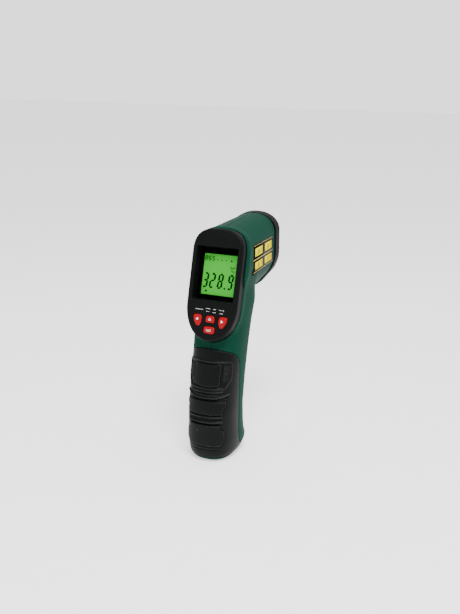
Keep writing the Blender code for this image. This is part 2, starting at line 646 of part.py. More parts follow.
# ---------------------------------------------------------------- trigger
def trigger():
    """The lever, with its pivot boss at the top and a concave face for the finger."""
    y, z = TRIGGER_PIVOT
    boss = [(y + 3.3 * math.cos(a), z + 3.3 * math.sin(a)) for a in numpy.linspace(2.6, 0.35, 6)]
    finger = [(y + 9.6, z - 2.6), (y + 10.9, z - 5.6), (y + 10.6, z - 9.0), (y + 9.3, z - 13.5),
              (y + 8.8, z - 18.5), (y + 9.6, z - 23.0), (y + 10.9, z - 25.9), (y + 10.0, z - 27.2)]
    back = [(y + 3.6, z - 27.2), (y - 0.2, z - 25.2), (y - 1.2, z - 14.0), (y - 3.0, z - 4.0)]
    lever = slab("trigger", boss + finger + back, TRIGGER_HALF_WIDTH, GREEN)
    boolean(lever, cylinder("trigger_bore", 1.55, (-BEYOND, y, z), (BEYOND, y, z)))
    soften(lever, 0.5, angle=50)
    cylinder("trigger_pin", 1.25, (-11.7, y, z), (11.7, y, z), STEEL)

    board_y = 14.0
    box("trigger_board", (-9.0, board_y - 1.4, 88.0), (9.0, board_y, 107.0), BOARD)
    face = y - 0.8
    switch = box("trigger_switch", (-3.5, board_y + GAP, PLUNGER_HEIGHT - 3.0),
                 (3.5, 19.0, PLUNGER_HEIGHT + 3.0), BLACK)
    boolean(switch, cylinder("plunger_hole", 1.6, (0, 15.6, PLUNGER_HEIGHT), (0, 30, PLUNGER_HEIGHT),
                             sides=16))
    cylinder("switch_plunger", 1.25, (0, 18.6, PLUNGER_HEIGHT), (0, face - 0.5, PLUNGER_HEIGHT), WHITE,
             sides=16)
    spring_coil("trigger_spring", (0.0, board_y + 0.4, 101.0), (0.0, y - 3.0, 101.0), 2.2, 0.3, 5, STEEL)


def spring_coil(name, start, end, radius, wire, turns, paint):
    """A coil between two points that share a Y or a Z line."""
    start, end = Vector(start), Vector(end)
    along = (end - start).normalized()
    side = along.orthogonal().normalized()
    other = along.cross(side)
    length = (end - start).length - 2 * wire
    steps = turns * 8
    points = []
    for i in range(steps + 1):
        angle = 2 * math.pi * turns * i / steps
        rise = wire + length * i / steps
        points.append(start + along * rise + (side * math.cos(angle) + other * math.sin(angle)) * radius)
    return tube(name, points, wire, paint, 1)


# ---------------------------------------------------------------- battery
def battery_door():
    door = as_part(door_region("battery_door", GAP), GREEN)
    boolean(door, handle_loft("door_outside", 0.0, 2.0, 90.0), "INTERSECT")
    boolean(door, handle_loft("door_inside", WALL, -4.0, 96.0))
    y, z = DOOR_AXIS
    for side in (-1, 1):
        near, far = sorted((side * 4.0, side * 6.9))
        boolean(door, box(f"door_notch_{side}", (near, y - 8.0, z - 4.0), (far, y + 8.0, z + 2.0)))
    boolean(door, cylinder("door_knuckle", 1.5, (-3.7, y, z), (3.7, y, z), sides=16), "UNION")
    boolean(door, cylinder("door_bore", 1.1, (-8.0, y, z), (8.0, y, z), sides=12))
    cylinder("door_hinge_pin", 0.8, (-6.5, y, z), (6.5, y, z), STEEL, sides=12)


def batteries():
    low, high = 12.5, 12.5 + CELL_LENGTH
    shoulder = CELL_LENGTH - 1.3        # the contact button stands this far down from the end
    profile = [(0.0, CELL_LENGTH), (1.9, CELL_LENGTH), (1.9, shoulder), (CELL_RADIUS - 0.35, shoulder),
               (CELL_RADIUS, shoulder - 0.4), (CELL_RADIUS, 0.4), (CELL_RADIUS - 0.35, 0.0), (0.0, 0.0)]
    for name, side in (("battery_left", -1), ("battery_right", 1)):
        start = (side * CELL_OFFSET, CELL_Y, low if side > 0 else high)
        turned(name, profile, start, (0.0, 0.0, float(side)), CELL, 20)
    back = (CELL_Y - 7.2, CELL_Y - 5.8)
    tray = box("battery_tray", (-10.6, back[0], 9.8), (10.6, back[1], 62.4), BLACK)
    boolean(tray, box("tray_floor", (-10.6, back[0] + 0.5, 9.8), (10.6, CELL_Y + 3.0, 11.3)), "UNION")
    boolean(tray, box("tray_roof", (-10.6, back[0] + 0.5, 61.0), (10.6, CELL_Y + 3.0, 62.4)), "UNION")
    box("contact_bridge", (-9.0, CELL_Y - 3.5, 11.6), (9.0, CELL_Y + 3.0, 12.2), STEEL)
    box("contact_plate", (CELL_OFFSET - 3.5, CELL_Y - 3.5, high + 0.3),
        (CELL_OFFSET + 3.5, CELL_Y + 3.0, 60.7), STEEL)
    spring_coil("contact_spring", (-CELL_OFFSET, CELL_Y, high + 0.2), (-CELL_OFFSET, CELL_Y, 60.7),
                3.2, 0.35, 3, STEEL)


# ---------------------------------------------------------------- wiring
def wiring():
    thin, thick, spacing = 0.6, 0.8, 3.0
    for name, x, paint in (("battery_wire_red", 6.0, WIRE_RED), ("battery_wire_black", -6.0, WIRE_BLACK)):
        route = [(x, 7.0, 63.4), (x, 5.0, 67.0), (x, 2.4, 72.0), (x, 3.0, 80.0), (x, 6.0, 87.5),
                 (x, 5.2, 90.5)]
        tube(name, smooth_route(route, spacing), thin, paint)
    sensor = [(0, 28.9, 129.0), (0, 26.5, 126.5), (0, 22.5, 126.0), (0, 19.4, 128.8)]
    tube("sensor_wires", smooth_route(sensor, spacing), thick, WIRE_BLACK)
    laser = [(0, 46.9, LASER_HEIGHT), (0, 43.0, 148.4), (3.5, 39.0, 147.2), (8.5, 35.0, 145.0),
             (10.4, 30.5, 143.0), (9.0, 25.0, 141.2), (7.5, 20.4, 140.0)]
    tube("laser_wires", smooth_route(laser, spacing), thin, WIRE_RED)
    switch = [(7.6, 11.8, 100.0), (7.6, 10.2, 103.0), (8.0, 10.4, 107.0), (8.0, 10.9, 111.0)]
    tube("switch_wires", smooth_route(switch, spacing), thin, WIRE_BLACK)


# ---------------------------------------------------------------- build
housing()
grip()
bezel()
display()
keys()
main_board()
nose()
optics()
trigger()
battery_door()
batteries()
case_screws()
wiring()
label_plate("side_label", -0.2, 0.2, 0.0, LABEL)
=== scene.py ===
"""Looks of the infrared thermometer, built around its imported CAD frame.

Same frame as the CAD: the origin is the centre of the handle's flat base, +Z is up, +Y is the
way the barrel aims. Shapes are described by fields: functions of x, y, z in millimetres that are
negative inside a piece. skin() turns a field into a closed mesh, in metres.
"""
import math

import bmesh
import bpy
import numpy as np
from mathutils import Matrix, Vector


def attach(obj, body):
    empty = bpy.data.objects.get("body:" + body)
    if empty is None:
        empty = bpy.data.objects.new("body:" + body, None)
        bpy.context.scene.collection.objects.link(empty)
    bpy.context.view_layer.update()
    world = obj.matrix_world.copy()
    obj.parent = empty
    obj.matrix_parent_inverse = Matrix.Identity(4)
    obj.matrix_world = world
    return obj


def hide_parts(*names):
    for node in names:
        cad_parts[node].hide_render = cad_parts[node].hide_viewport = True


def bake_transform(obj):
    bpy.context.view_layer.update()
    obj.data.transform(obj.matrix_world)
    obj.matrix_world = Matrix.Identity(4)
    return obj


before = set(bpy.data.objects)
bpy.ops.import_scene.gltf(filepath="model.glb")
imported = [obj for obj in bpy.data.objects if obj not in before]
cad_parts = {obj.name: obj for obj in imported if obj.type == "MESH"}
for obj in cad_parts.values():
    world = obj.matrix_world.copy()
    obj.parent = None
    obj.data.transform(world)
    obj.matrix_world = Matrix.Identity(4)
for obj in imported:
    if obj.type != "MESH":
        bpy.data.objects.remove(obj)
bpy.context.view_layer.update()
BODY = "instrument"
COARSE = 1.0

# ---------------------------------------------------------------- dimensions, in millimetres
DISPLAY_CENTRE = np.array((0.0, 5.5, 124.8))
RECLINE = math.radians(16.3)
SIN, COS = math.sin(RECLINE), math.cos(RECLINE)
ACROSS = np.array((1.0, 0.0, 0.0))
UP = np.array((0.0, SIN, COS))
OUT = np.array((0.0, -COS, SIN))
BODY_BACK = 1.5
BEZEL_BASE, BEZEL_FACE = 1.8, 7.2
BARREL_FRONT = 65.5
GAP = 0.3
WALL = 2.0
GRIP_WALL = 1.7
OPTICS_HEIGHT = 135.0
LASER_HEIGHT = 148.7
TRIGGER_PIVOT = (27.0, 110.0)
DOOR_AXIS = (21.6, 8.0)
KEEL_BOTTOM = 102.6
BARREL_SPRING = 123.5       # just over the height at which the barrel's flanks start to slope in
CASE_SCREWS = ((59.5, 121.0), (25.0, 147.5), (9.5, 77.0), (-7.0, 46.0), (-9.0, 15.0))
PIN_HOLE = 1.55             # radius of the trigger pin's hole
OPTICS_BORE = 9.8           # radius of the round opening for the infrared tube
LUG_MIDDLE = 5.45           # how far from the middle each of the door's hinge lugs is
POCKET_FLOOR = 0.9          # height of the floor of the bezel's pocket, over the display's plane
POCKET_MIDDLE = 0.45        # how far up the display the middle of the pocket is
FLANK = (0.765, 0.644)      # outward direction of the barrel's sloping flanks, across and down
HANDLE = np.array((         # height, centre Y, half width, half depth
    (-3.0, -0.3, 9.8, 13.6),
    (0.0, 0.0, 12.6, 16.8),
    (3.0, 0.1, 15.2, 20.2),
    (6.0, 1.3, 16.5, 22.3),
    (8.5, 2.1, 16.9, 23.1),
    (11.0, 1.3, 17.1, 22.6),
    (15.0, 0.0, 17.2, 21.0),
    (22.0, -0.3, 17.1, 20.3),
    (35.0, -0.4, 17.1, 19.6),
    (55.0, 3.5, 17.1, 19.5),
    (74.0, 8.1, 17.4, 19.2),
    (91.0, 12.3, 18.1, 18.5),
    (105.0, 17.3, 18.6, 19.3),
    (118.0, 19.7, 17.5, 18.5),
    (126.0, 20.0, 16.2, 17.8),
))
HANDLE_POWER = 2.5
GRIP_OUTLINE = (            # in side view: Y, Z
    (-60, 4.4), (-16, 2.9), (1, 1.3), (13, 1.3), (13, 4), (5, 6.6), (1, 10), (-0.4, 16), (-0.2, 30),
    (0.5, 50), (1.4, 62), (1.2, 67), (0.1, 70.6), (-2.1, 73.4), (-5.6, 75.8), (-9.5, 77.8), (-13, 79.2),
    (-20, 81.5), (-60, 90),
)
DOOR_OUTLINE = (            # in side view: Y, Z
    (12.6, DOOR_AXIS[1]), (11.4, 22), (11.4, 38), (14.8, 56), (19.2, 77.7), (70, 77.7), (70, DOOR_AXIS[1]),
)
DOOR_ROLL, DOOR_ROLL_HALF = 2.5, 10.5       # radius and half length of the door's rounded lower edge
LABEL_CORNERS = ((18.5, 124.6), (60.5, 123.8), (60.5, 141.2), (18.5, 143.2))     # Y, Z from the lower rear


# ---------------------------------------------------------------- fields
def join(a, b, radius=0.0):
    """Both shapes, with a fillet of that radius where they meet."""
    if radius == 0.0:
        return np.minimum(a, b)
    fillet = np.hypot(np.maximum(radius - a, 0), np.maximum(radius - b, 0))
    return np.maximum(radius, np.minimum(a, b)) - fillet


def common(a, b, radius=0.0):
    """What the two shapes share, with its edge rounded to that radius."""
    if radius == 0.0:
        return np.maximum(a, b)
    rounding = np.hypot(np.maximum(radius + a, 0), np.maximum(radius + b, 0))
    return np.minimum(-radius, np.maximum(a, b)) + rounding


def cut(a, b, radius=0.0):
    """The first shape without the second."""
    return common(a, -b, radius)


def oval(a, b, half_a, half_b, power):
    """Distance to a superellipse, for offsets a and b from its centre that are 0 or more."""
    a, b = a / half_a, b / half_b
    r = np.maximum((a ** power + b ** power) ** (1 / power), 1e-3)
    slope = np.hypot((a / r) ** (power - 1) / half_a, (b / r) ** (power - 1) / half_b)
    return (r - 1) / slope


def capped(u, v, half_width, top, upper, lower, bottom, top_power, bottom_power):
    """Distance to an outline with straight sides from lower to upper and a round cap at each end."""
    u = np.abs(u)
    above = oval(u, np.maximum(v - upper, 0), half_width, top - upper, top_power)
    below = oval(u, np.maximum(lower - v, 0), half_width, lower - bottom, bottom_power)
    return np.where(v > (upper + lower) / 2, above, below)


def block(u, v, half_u, half_v, radius):
    """Distance to a rectangle with round corners."""
    a, b = np.abs(u) - half_u + radius, np.abs(v) - half_v + radius
    return np.hypot(np.maximum(a, 0), np.maximum(b, 0)) + np.minimum(np.maximum(a, b), 0) - radius


def polygon(u, v, points):
    """Distance to a polygon, negative inside."""
    points = np.array(points, float)
    nearest, inside = np.inf, False
    for (x1, y1), (x2, y2) in zip(points, np.roll(points, -1, axis=0)):
        dx, dy = x2 - x1, y2 - y1
        t = np.clip(((u - x1) * dx + (v - y1) * dy) / (dx * dx + dy * dy), 0, 1)
        nearest = np.minimum(nearest, np.hypot(u - x1 - t * dx, v - y1 - t * dy))
        crosses = (y1 > v) != (y2 > v)
        inside = inside ^ (crosses & (u < x1 + dx * (v - y1) / (dy if dy else 1e-9)))
    return np.where(inside, -nearest, nearest)


def smooth(points, steps=6, closed=True):
    """More points on a smooth curve through the given ones."""
    points = [np.array(p, float) for p in points]
    count = len(points)
    made = []
    for i in range(count if closed else count - 1):
        if closed:
            a, b, c, d = (points[(i + k) % count] for k in (-1, 0, 1, 2))
        else:
            a, b, c, d = (points[min(max(i + k, 0), count - 1)] for k in (-1, 0, 1, 2))
        for t in np.linspace(0, 1, steps, endpoint=False):
            made.append(0.5 * (2 * b + (c - a) * t + (2 * a - 5 * b + 4 * c - d) * t ** 2
                               + (3 * b - a - 3 * c + d) * t ** 3))
    if not closed:
        made.append(points[-1])
    return made


# the handle's sections, blended along its height
SECTION_STEP, BLEND, REACH = 0.25, 1.2, 24      # millimetres, millimetres, steps
_heights = np.arange(-8.0, 134.0, SECTION_STEP)
_kernel = np.exp(-0.5 * (np.arange(-REACH, REACH + 1) * SECTION_STEP / BLEND) ** 2)
_kernel /= _kernel.sum()
_rows = [np.interp(_heights, HANDLE[:, 0], HANDLE[:, k]) for k in (1, 2, 3)]
_rows = [np.convolve(np.pad(row, REACH, mode="edge"), _kernel, mode="valid") for row in _rows]


def handle_at(z):
    """The handle's centre Y, half width and half depth at a height."""
    return [np.interp(z, _heights, row) for row in _rows]


def handle(x, y, z):
    centre, across, deep = handle_at(z)
    return oval(np.abs(x), np.abs(y - centre), across, deep, HANDLE_POWER)


def barrel_half_width(y):
    return 16.0 + 0.0715 * (BARREL_FRONT - y)


def display_height(y, z):
    return -(y - DISPLAY_CENTRE[1]) * COS + (z - DISPLAY_CENTRE[2]) * SIN


def display_up(y, z):
    return (y - DISPLAY_CENTRE[1]) * SIN + (z - DISPLAY_CENTRE[2]) * COS


def barrel(x, y, z):
    rear = DISPLAY_CENTRE[1] + ((z - DISPLAY_CENTRE[2]) * SIN - 3.0) / COS
    t = np.clip((y - rear) / (BARREL_FRONT - rear), -0.2, 1.2)
    top, upper, bottom = 155.5 + 0.7 * t, 139.8 + 3.0 * t, KEEL_BOTTOM + 1.5 - 1.5 * t
    return barrel_section(x, z, barrel_half_width(y), top, upper, bottom)


def barrel_section(x, z, half, top, upper, bottom):
    """A round top, straight sides, and flanks that slope in to a keel."""
    x = np.abs(x)
    above = oval(x, np.maximum(z - upper, 0), half, top - upper, 2.15)
    flank = FLANK[0] * (x - 0.8625 * half) + FLANK[1] * (BARREL_SPRING - 0.3 * (BARREL_SPRING - bottom) - z)
    below = common(common(x - half, flank, 5.0), bottom - z, 3.0)
    return np.where(z > 131.0, above, below)


def bezel_outline(u, v, inset=0.0):
    return capped(u, v, 18.3 - inset, 30.4 - inset, 13.5, -19.5, -44.5 + inset, 2.8, 2.1)


def grip_region(y, z):
    """What the rubber grip covers in side view."""
    return polygon(y, z, GRIP_OUTLINE)


def door_region(x, y, z, grow=0.0):
    """What the battery door covers: a side view area, and a roll about its axis at the lower edge."""
    roll = np.maximum(rod(y, z, DOOR_ROLL, DOOR_AXIS), np.abs(x) - DOOR_ROLL_HALF)
    return np.minimum(polygon(y, z, DOOR_OUTLINE), roll) - grow


def rod(a, b, radius, centre):
    """Distance to an endless rod, for the two coordinates across it."""
    return np.hypot(a - centre[0], b - centre[1]) - radius


def full_body(x, y, z):
    """The outside of the housing, before its rear is cut."""
    top = np.maximum(handle(x, y, z), z - 120.0)
    return join(top, np.maximum(barrel(x, y, z), y - BARREL_FRONT - 20), 4.0)


def housing_field(side):
    """The left shell for side -1 and the right shell for side 1."""
    def field(x, y, z):
        # the outside: barrel and handle, a collar round the display, and three flat cuts
        u, v, h = x, display_up(y, z), display_height(y, z)
        hull = full_body(x, y, z)
        collar_inset = -0.9 + np.clip((0.8 - h) / 16.8, 0, 1.4) * 2.5
        collar = np.maximum(bezel_outline(u, v, collar_inset) * 0.98, -17.0 - h)
        body = join(hull, collar, 2.5)
        body = common(body, h - BODY_BACK, 3.4)
        body = common(body, y - BARREL_FRONT, 0.25)
        body = common(body, -z, 1.2)

        # the hollow, less two bulkheads, screw posts and pin bosses; then the bezel's seat
        battery_room = np.clip((y - 3.5) / 1.5, 0, 1) * np.clip((z - 8.5) / 1.5, 0, 1)
        wall = 2.2 + 1.5 * np.clip((88.0 - z) / 8.0, 0, 1) * (1 - battery_room)
        cavity = np.maximum(hull + wall, 4.5 - z)
        cavity = np.minimum(cavity, np.maximum(bezel_outline(u, v, 3.0), -12.0 - h))
        for plane in (41.0, 57.5):
            cavity = cut(cavity, np.abs(y - plane) - 1.0)
        for centre in CASE_SCREWS:
            cavity = cut(cavity, rod(y, z, 3.2, centre))
        cavity = cut(cavity, np.maximum(rod(y, z, 3.2, TRIGGER_PIVOT), 6.6 - np.abs(x)))
        body = cut(body, cavity, 0.3)
        body = cut(body, np.maximum(bezel_outline(u, v, -0.12), BEZEL_BASE - 2.6 - h), 0.25)

        # openings for the optics, grip, battery door, trigger, its pin and the side label
        optics = rod(x, z, OPTICS_BORE, (0.0, OPTICS_HEIGHT))
        laser = rod(x, z, 3.6, (0.0, LASER_HEIGHT))
        body = cut(body, np.maximum(np.minimum(optics, laser), 30.0 - y))
        body = cut(body, common(grip_region(y, z), -(handle(x, y, z) + GRIP_WALL + GAP)), 0.45)
        body = cut(body, door_region(x, y, z, GAP), 0.35)
        beside = np.abs(door_region(x, y, z, GAP)) - 1.6
        depth = -handle(x, y, z)
        lip = np.maximum(np.maximum(beside, 14.0 - z), np.abs(depth - 2.85) - 0.75)
        body = join(body, lip)      # it stands behind the door's gap
        window = np.maximum(block(x, z - 95.2, 6.5, 14.4, 1.2), np.abs(y - 32.0) - 8.0)
        body = cut(body, window, 0.4)
        body = cut(body, rod(y, z, PIN_HOLE, TRIGGER_PIVOT) + np.where(np.abs(x) < 12.0, 0.0, 9.0))
        if side > 0:
            label = polygon(y, z, LABEL_CORNERS) - 0.35
            body = cut(body, np.maximum(label, barrel_half_width(y) - 0.2 - x), 0.1)

        # the door's hinge lugs, and the screws' holes
        lug_across = np.abs(np.abs(x) - LUG_MIDDLE) - 1.15
        lug = common(rod(y, z, 1.85, DOOR_AXIS), lug_across, 0.3)
        foot = np.maximum(lug_across, block(y - DOOR_AXIS[0] + 2.0, z - 6.0, 1.2, 2.0, 0.2))
        body = join(body, np.minimum(lug, foot), 0.3)
        body = cut(body, np.maximum(rod(y, z, 0.85, DOOR_AXIS), np.abs(x) - 7.0))
        for centre in CASE_SCREWS:
            body = cut(body, np.maximum(rod(y, z, 2.9, centre), x + 10.2), 0.3)
            body = cut(body, np.maximum(rod(y, z, 1.7, centre), x - 9.0))
        return common(body, 0.005 - side * x, 0.05)
    return field


# ---------------------------------------------------------------- the grip's relief
ARC = 0.34          # millimetres round the grip for each degree
DOT_PITCH = 1.7


def step(t):
    t = np.clip(t, 0, 1)
    return t * t * (3 - 2 * t)


def bell(t):
    return np.exp(-t ** 2)


def ridge(distance, width):
    """A band of that width just inside an outline."""
    return step(-distance / 0.45) * step((distance + width + 0.45) / 0.45)


def relief(x, y, z):
    """Height of the grip's pattern over the plain handle."""
    centre, across, deep = handle_at(z)
    angle = np.degrees(np.arctan2(x / across, -(y - centre) / deep))
    s = np.abs(angle) * ARC         # millimetres round from the middle of the back
    high = 0.0 * s

    # rim of the upper field, the raised panel in it and the dotted patch beside the panel
    field = polygon(s, z, ((-40, 70.6), (16.0, 70.4), (18.4, 68.6), (18.8, 66.0), (18.9, 57.5),
                           (14.0, 51.2), (-40, 51.2)))
    high = high + 0.70 * ridge(field, 1.1) - 0.25 * step((-field - 1.6) / 0.5)
    panel = block(s, z - 60.4 - 0.012 * s ** 2, 10.6, 7.6, 1.8)
    high = high + 0.90 * step(-panel / 0.8) - 0.30 * bell((panel - 0.3) / 0.4)
    patch = block(s - 14.9, z - 62.2, 2.9, 5.4, 1.0)
    dots = np.cos(s * 2 * math.pi / DOT_PITCH) * np.cos(z * 2 * math.pi / DOT_PITCH)
    high = high + step(-patch / 0.6) * (0.50 * dots + 0.2)

    # two pairs of ribs, each with a groove under it, and a bar between the upper two
    for middle, rise, reach in ((49.9, 0.7, 13.5), (45.9, 1.3, 18.0), (33.0, 0.3, 14.2), (29.3, 0.4, 14.4)):
        level = middle + rise * (s / 14.0) ** 3
        ends = step((reach - s) / 1.0)
        high = high + ends * (1.0 * bell((z - level) / 0.65) - 0.4 * bell((z - level + 1.5) / 0.6))
    bar = block(s, z - 47.9 - 0.004 * s ** 2, 9.8, 0.75, 0.3)
    high = high + 0.6 * step(-bar / 0.5)

    # middle and lower fields with their stepped ends, and a groove under the lower one
    middle = polygon(s, z, ((-40, 43.8), (15.9, 44.1), (16.4, 39.8), (14.2, 38.6), (14.2, 34.6), (-40, 34.6)))
    lower = polygon(s, z, ((-40, 27.6), (12.0, 27.6), (12.6, 25.0), (15.6, 23.2), (15.8, 16.0),
                           (12.6, 12.0), (-40, 12.0)))
    for shape in (middle, lower):
        high = high + 0.90 * step(-shape / 0.7) - 0.40 * bell((shape - 0.3) / 0.45)
    high = high - 0.35 * bell((z - 9.6) / 0.45) * step((13.6 - s) / 1.0)
    return high * step((21.5 - s) / 2.0)


def grip_field(x, y, z):
    outside = handle(x, y, z)
    shell = cut(outside - relief(x, y, z), outside + GRIP_WALL)
    return common(shell, grip_region(y, z) + GAP, 0.7)


# ---------------------------------------------------------------- from field to mesh
def nets(field, low, high, pitch):
    """Vertices and quads of the surface where the field is zero: one vertex in each cell it crosses."""
    axes = [np.arange(a, b + pitch, pitch) for a, b in zip(low, high)]
    grids = np.meshgrid(*axes, indexing="ij", sparse=True)
    shape = tuple(len(a) for a in axes)
    values = np.array(np.broadcast_to(field(*grids), shape), dtype=float)
    values[values == 0] = 1e-9
    inside = values < 0
    for axis in range(3):       # nothing runs off the grid
        edge = [slice(None)] * 3
        for end in (0, -1):
            edge[axis] = end
            inside[tuple(edge)] = False
            values[tuple(edge)] = np.abs(values[tuple(edge)])
    corners = [(i, j, k) for i in (0, 1) for j in (0, 1) for k in (0, 1)]

    def shifted(array, i, j, k):
        return array[i:shape[0] - 1 + i, j:shape[1] - 1 + j, k:shape[2] - 1 + k]

    total = sum(shifted(inside, *c).astype(np.int8) for c in corners)
    cells = np.array(np.nonzero((total > 0) & (total < 8)))
    number = np.full(total.shape, -1, dtype=np.int64)
    number[tuple(cells)] = np.arange(cells.shape[1])
    at_corner = {c: values[tuple(cells + np.array(c)[:, None])] for c in corners}
    summed = np.zeros((3, cells.shape[1]))
    count = np.zeros(cells.shape[1])
    for c in corners:
        for axis in range(3):
            if c[axis]:
                continue
            other = tuple(c[k] + (k == axis) for k in range(3))
            a, b = at_corner[c], at_corner[other]
            crossed = (a < 0) != (b < 0)
            t = np.where(crossed, a / np.where(crossed, a - b, 1), 0)
            for k in range(3):
                summed[k] += np.where(crossed, c[k] + (t if k == axis else 0), 0)
            count += crossed
    points = np.array(low)[:, None] + (cells + summed / count) * pitch

    quads = []
    for axis, turn in ((0, False), (1, True), (2, False)):
        b, c = [k for k in range(3) if k != axis]
        near = [slice(1, -1)] * 3
        near[axis] = slice(0, -1)
        far = list(near)
        far[axis] = slice(1, None)
        first, second = inside[tuple(near)], inside[tuple(far)]
        for outward, mask in ((True, first & ~second), (False, ~first & second)):
            spots = np.array(np.nonzero(mask))
            spots[b] += 1
            spots[c] += 1
            ring = []
            for step_b, step_c in ((-1, -1), (0, -1), (0, 0), (-1, 0)):
                at = spots.copy()
                at[b] += step_b
                at[c] += step_c
                ring.append(number[tuple(at)])
            ring = np.array(ring).T
            if outward == turn:
                ring = ring[:, ::-1]
            quads.append(ring)
    quads = np.concatenate(quads)

    # slide every vertex onto the surface, in a few steps along the slope
    limit, nudge = pitch * 0.6, pitch * 0.1
    start = points.copy()
    for _ in range(4):
        value = field(*points)
        slope = np.array([(field(*(points + d)) - field(*(points - d))) / (2 * nudge)
                          for d in np.eye(3)[:, :, None] * nudge])
        moved = points - slope * value / np.maximum((slope ** 2).sum(0), 0.05)
        points = start + np.clip(moved - start, -limit, limit)
    return points.T, quads


def mesh_from(name, points, faces):
    """A mesh from points in metres and faces with equally many corners."""
    mesh = bpy.data.meshes.new(name)
    mesh.vertices.add(len(points))
    mesh.vertices.foreach_set("co", np.asarray(points, np.float32).ravel())
    size = faces.shape[1]
    mesh.loops.add(faces.size)
    mesh.loops.foreach_set("vertex_index", faces.astype(np.int32).ravel())
    mesh.polygons.add(len(faces))
    mesh.polygons.foreach_set("loop_start", np.arange(0, faces.size, size, dtype=np.int32))
    mesh.update()
    mesh.validate()
    return mesh


def piece(name, mesh, paint, body=BODY, nodes=(), sharp=None):
    """Link a finished mesh as a piece of the object."""
    mesh.materials.append(paint)
    mesh.shade_smooth()
    if sharp:
        mesh.set_sharp_from_angle(angle=math.radians(sharp))
    made = bpy.data.objects.new(name, mesh)
    bpy.context.scene.collection.objects.link(made)
    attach(made, body)
    if nodes:
        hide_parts(*nodes)
    return made


def on_display(points):
    """Points given as (u, v, h) on the display, in the shared frame."""
    points = np.asarray(points, float)
    return DISPLAY_CENTRE + points[:, :1] * ACROSS + points[:, 1:2] * UP + points[:, 2:3] * OUT


def skin(name, field, low, high, pitch, paint, body=BODY, nodes=(), display=False, sharp=None):
    """A piece from a field, searched between the corners low and high; display says it is in (u, v, h)."""
    points, quads = nets(field, low, high, pitch * COARSE)
    if display:
        points = on_display(points)
    return piece(name, mesh_from(name, points * 0.001, quads), paint, body, nodes, sharp)


def prism_mesh(outlines, place):
    """Thin plates, each from (points, low, high); place() turns rows of (u, v, h) into the frame."""
    shape = bmesh.new()
    for points, low, high in outlines:
        rings = []
        for height in (low, high):
            rows = place(np.array([(u, v, height) for u, v in points]))
            rings.append([shape.verts.new(row * 0.001) for row in rows])
        count = len(points)
        for i in range(count):
            j = (i + 1) % count
            shape.faces.new((rings[0][i], rings[0][j], rings[1][j], rings[1][i]))
        shape.faces.new(rings[0][::-1])
        shape.faces.new(rings[1])
    bmesh.ops.recalc_face_normals(shape, faces=shape.faces)
    mesh = bpy.data.meshes.new("plates")
    shape.to_mesh(mesh)
    shape.free()
    return mesh


def bar(start, end, width):
    """An elongated hexagon from start to end."""
    start, end = np.array(start, float), np.array(end, float)
    along = (end - start) / np.linalg.norm(end - start)
    side = np.array((-along[1], along[0])) * width / 2
    tip = along * width / 2
    return [start, start + tip - side, end - tip - side, end, end - tip + side, start + tip + side]


def around(sides):
    return np.linspace(0, 2 * math.pi, sides, endpoint=False)


def disc(centre, radius, sides=24):
    return [(centre[0] + radius * math.cos(a), centre[1] + radius * math.sin(a)) for a in around(sides)]


def turned(name, profile, start, along, paint, body=BODY, nodes=(), sides=96, sharp=35):
    """A piece turned about the line from start, for profile pairs of (radius, distance)."""
    turn = Vector(along).to_track_quat("Z", "Y").to_matrix()
    closed = all(radius > 0 for radius, _ in profile)
    shape = bmesh.new()
    rings = []
    for radius, distance in profile:
        angles = around(sides if radius else 1)
        places = [(radius * math.cos(a), radius * math.sin(a), distance) for a in angles]
        rings.append([shape.verts.new((turn @ Vector(place) + Vector(start)) * 0.001) for place in places])
    pairs = list(zip(rings, rings[1:])) + ([(rings[-1], rings[0])] if closed else [])
    for one, two in pairs:
        for i in range(sides):
            j = (i + 1) % sides
            if len(one) == 1:
                shape.faces.new((one[0], two[i], two[j]))
            elif len(two) == 1:
                shape.faces.new((one[i], one[j], two[0]))
            else:
                shape.faces.new((one[i], one[j], two[j], two[i]))
    bmesh.ops.recalc_face_normals(shape, faces=shape.faces)
    mesh = bpy.data.meshes.new(name)
    shape.to_mesh(mesh)
    shape.free()
    return piece(name, mesh, paint, body, nodes, sharp)


# ---------------------------------------------------------------- materials
def linear(code):
    """A colour written as six hex digits, as linear values."""
    values = [int(code[i:i + 2], 16) / 255 for i in (0, 2, 4)]
    return [v / 12.92 if v <= 0.04045 else ((v + 0.055) / 1.055) ** 2.4 for v in values]


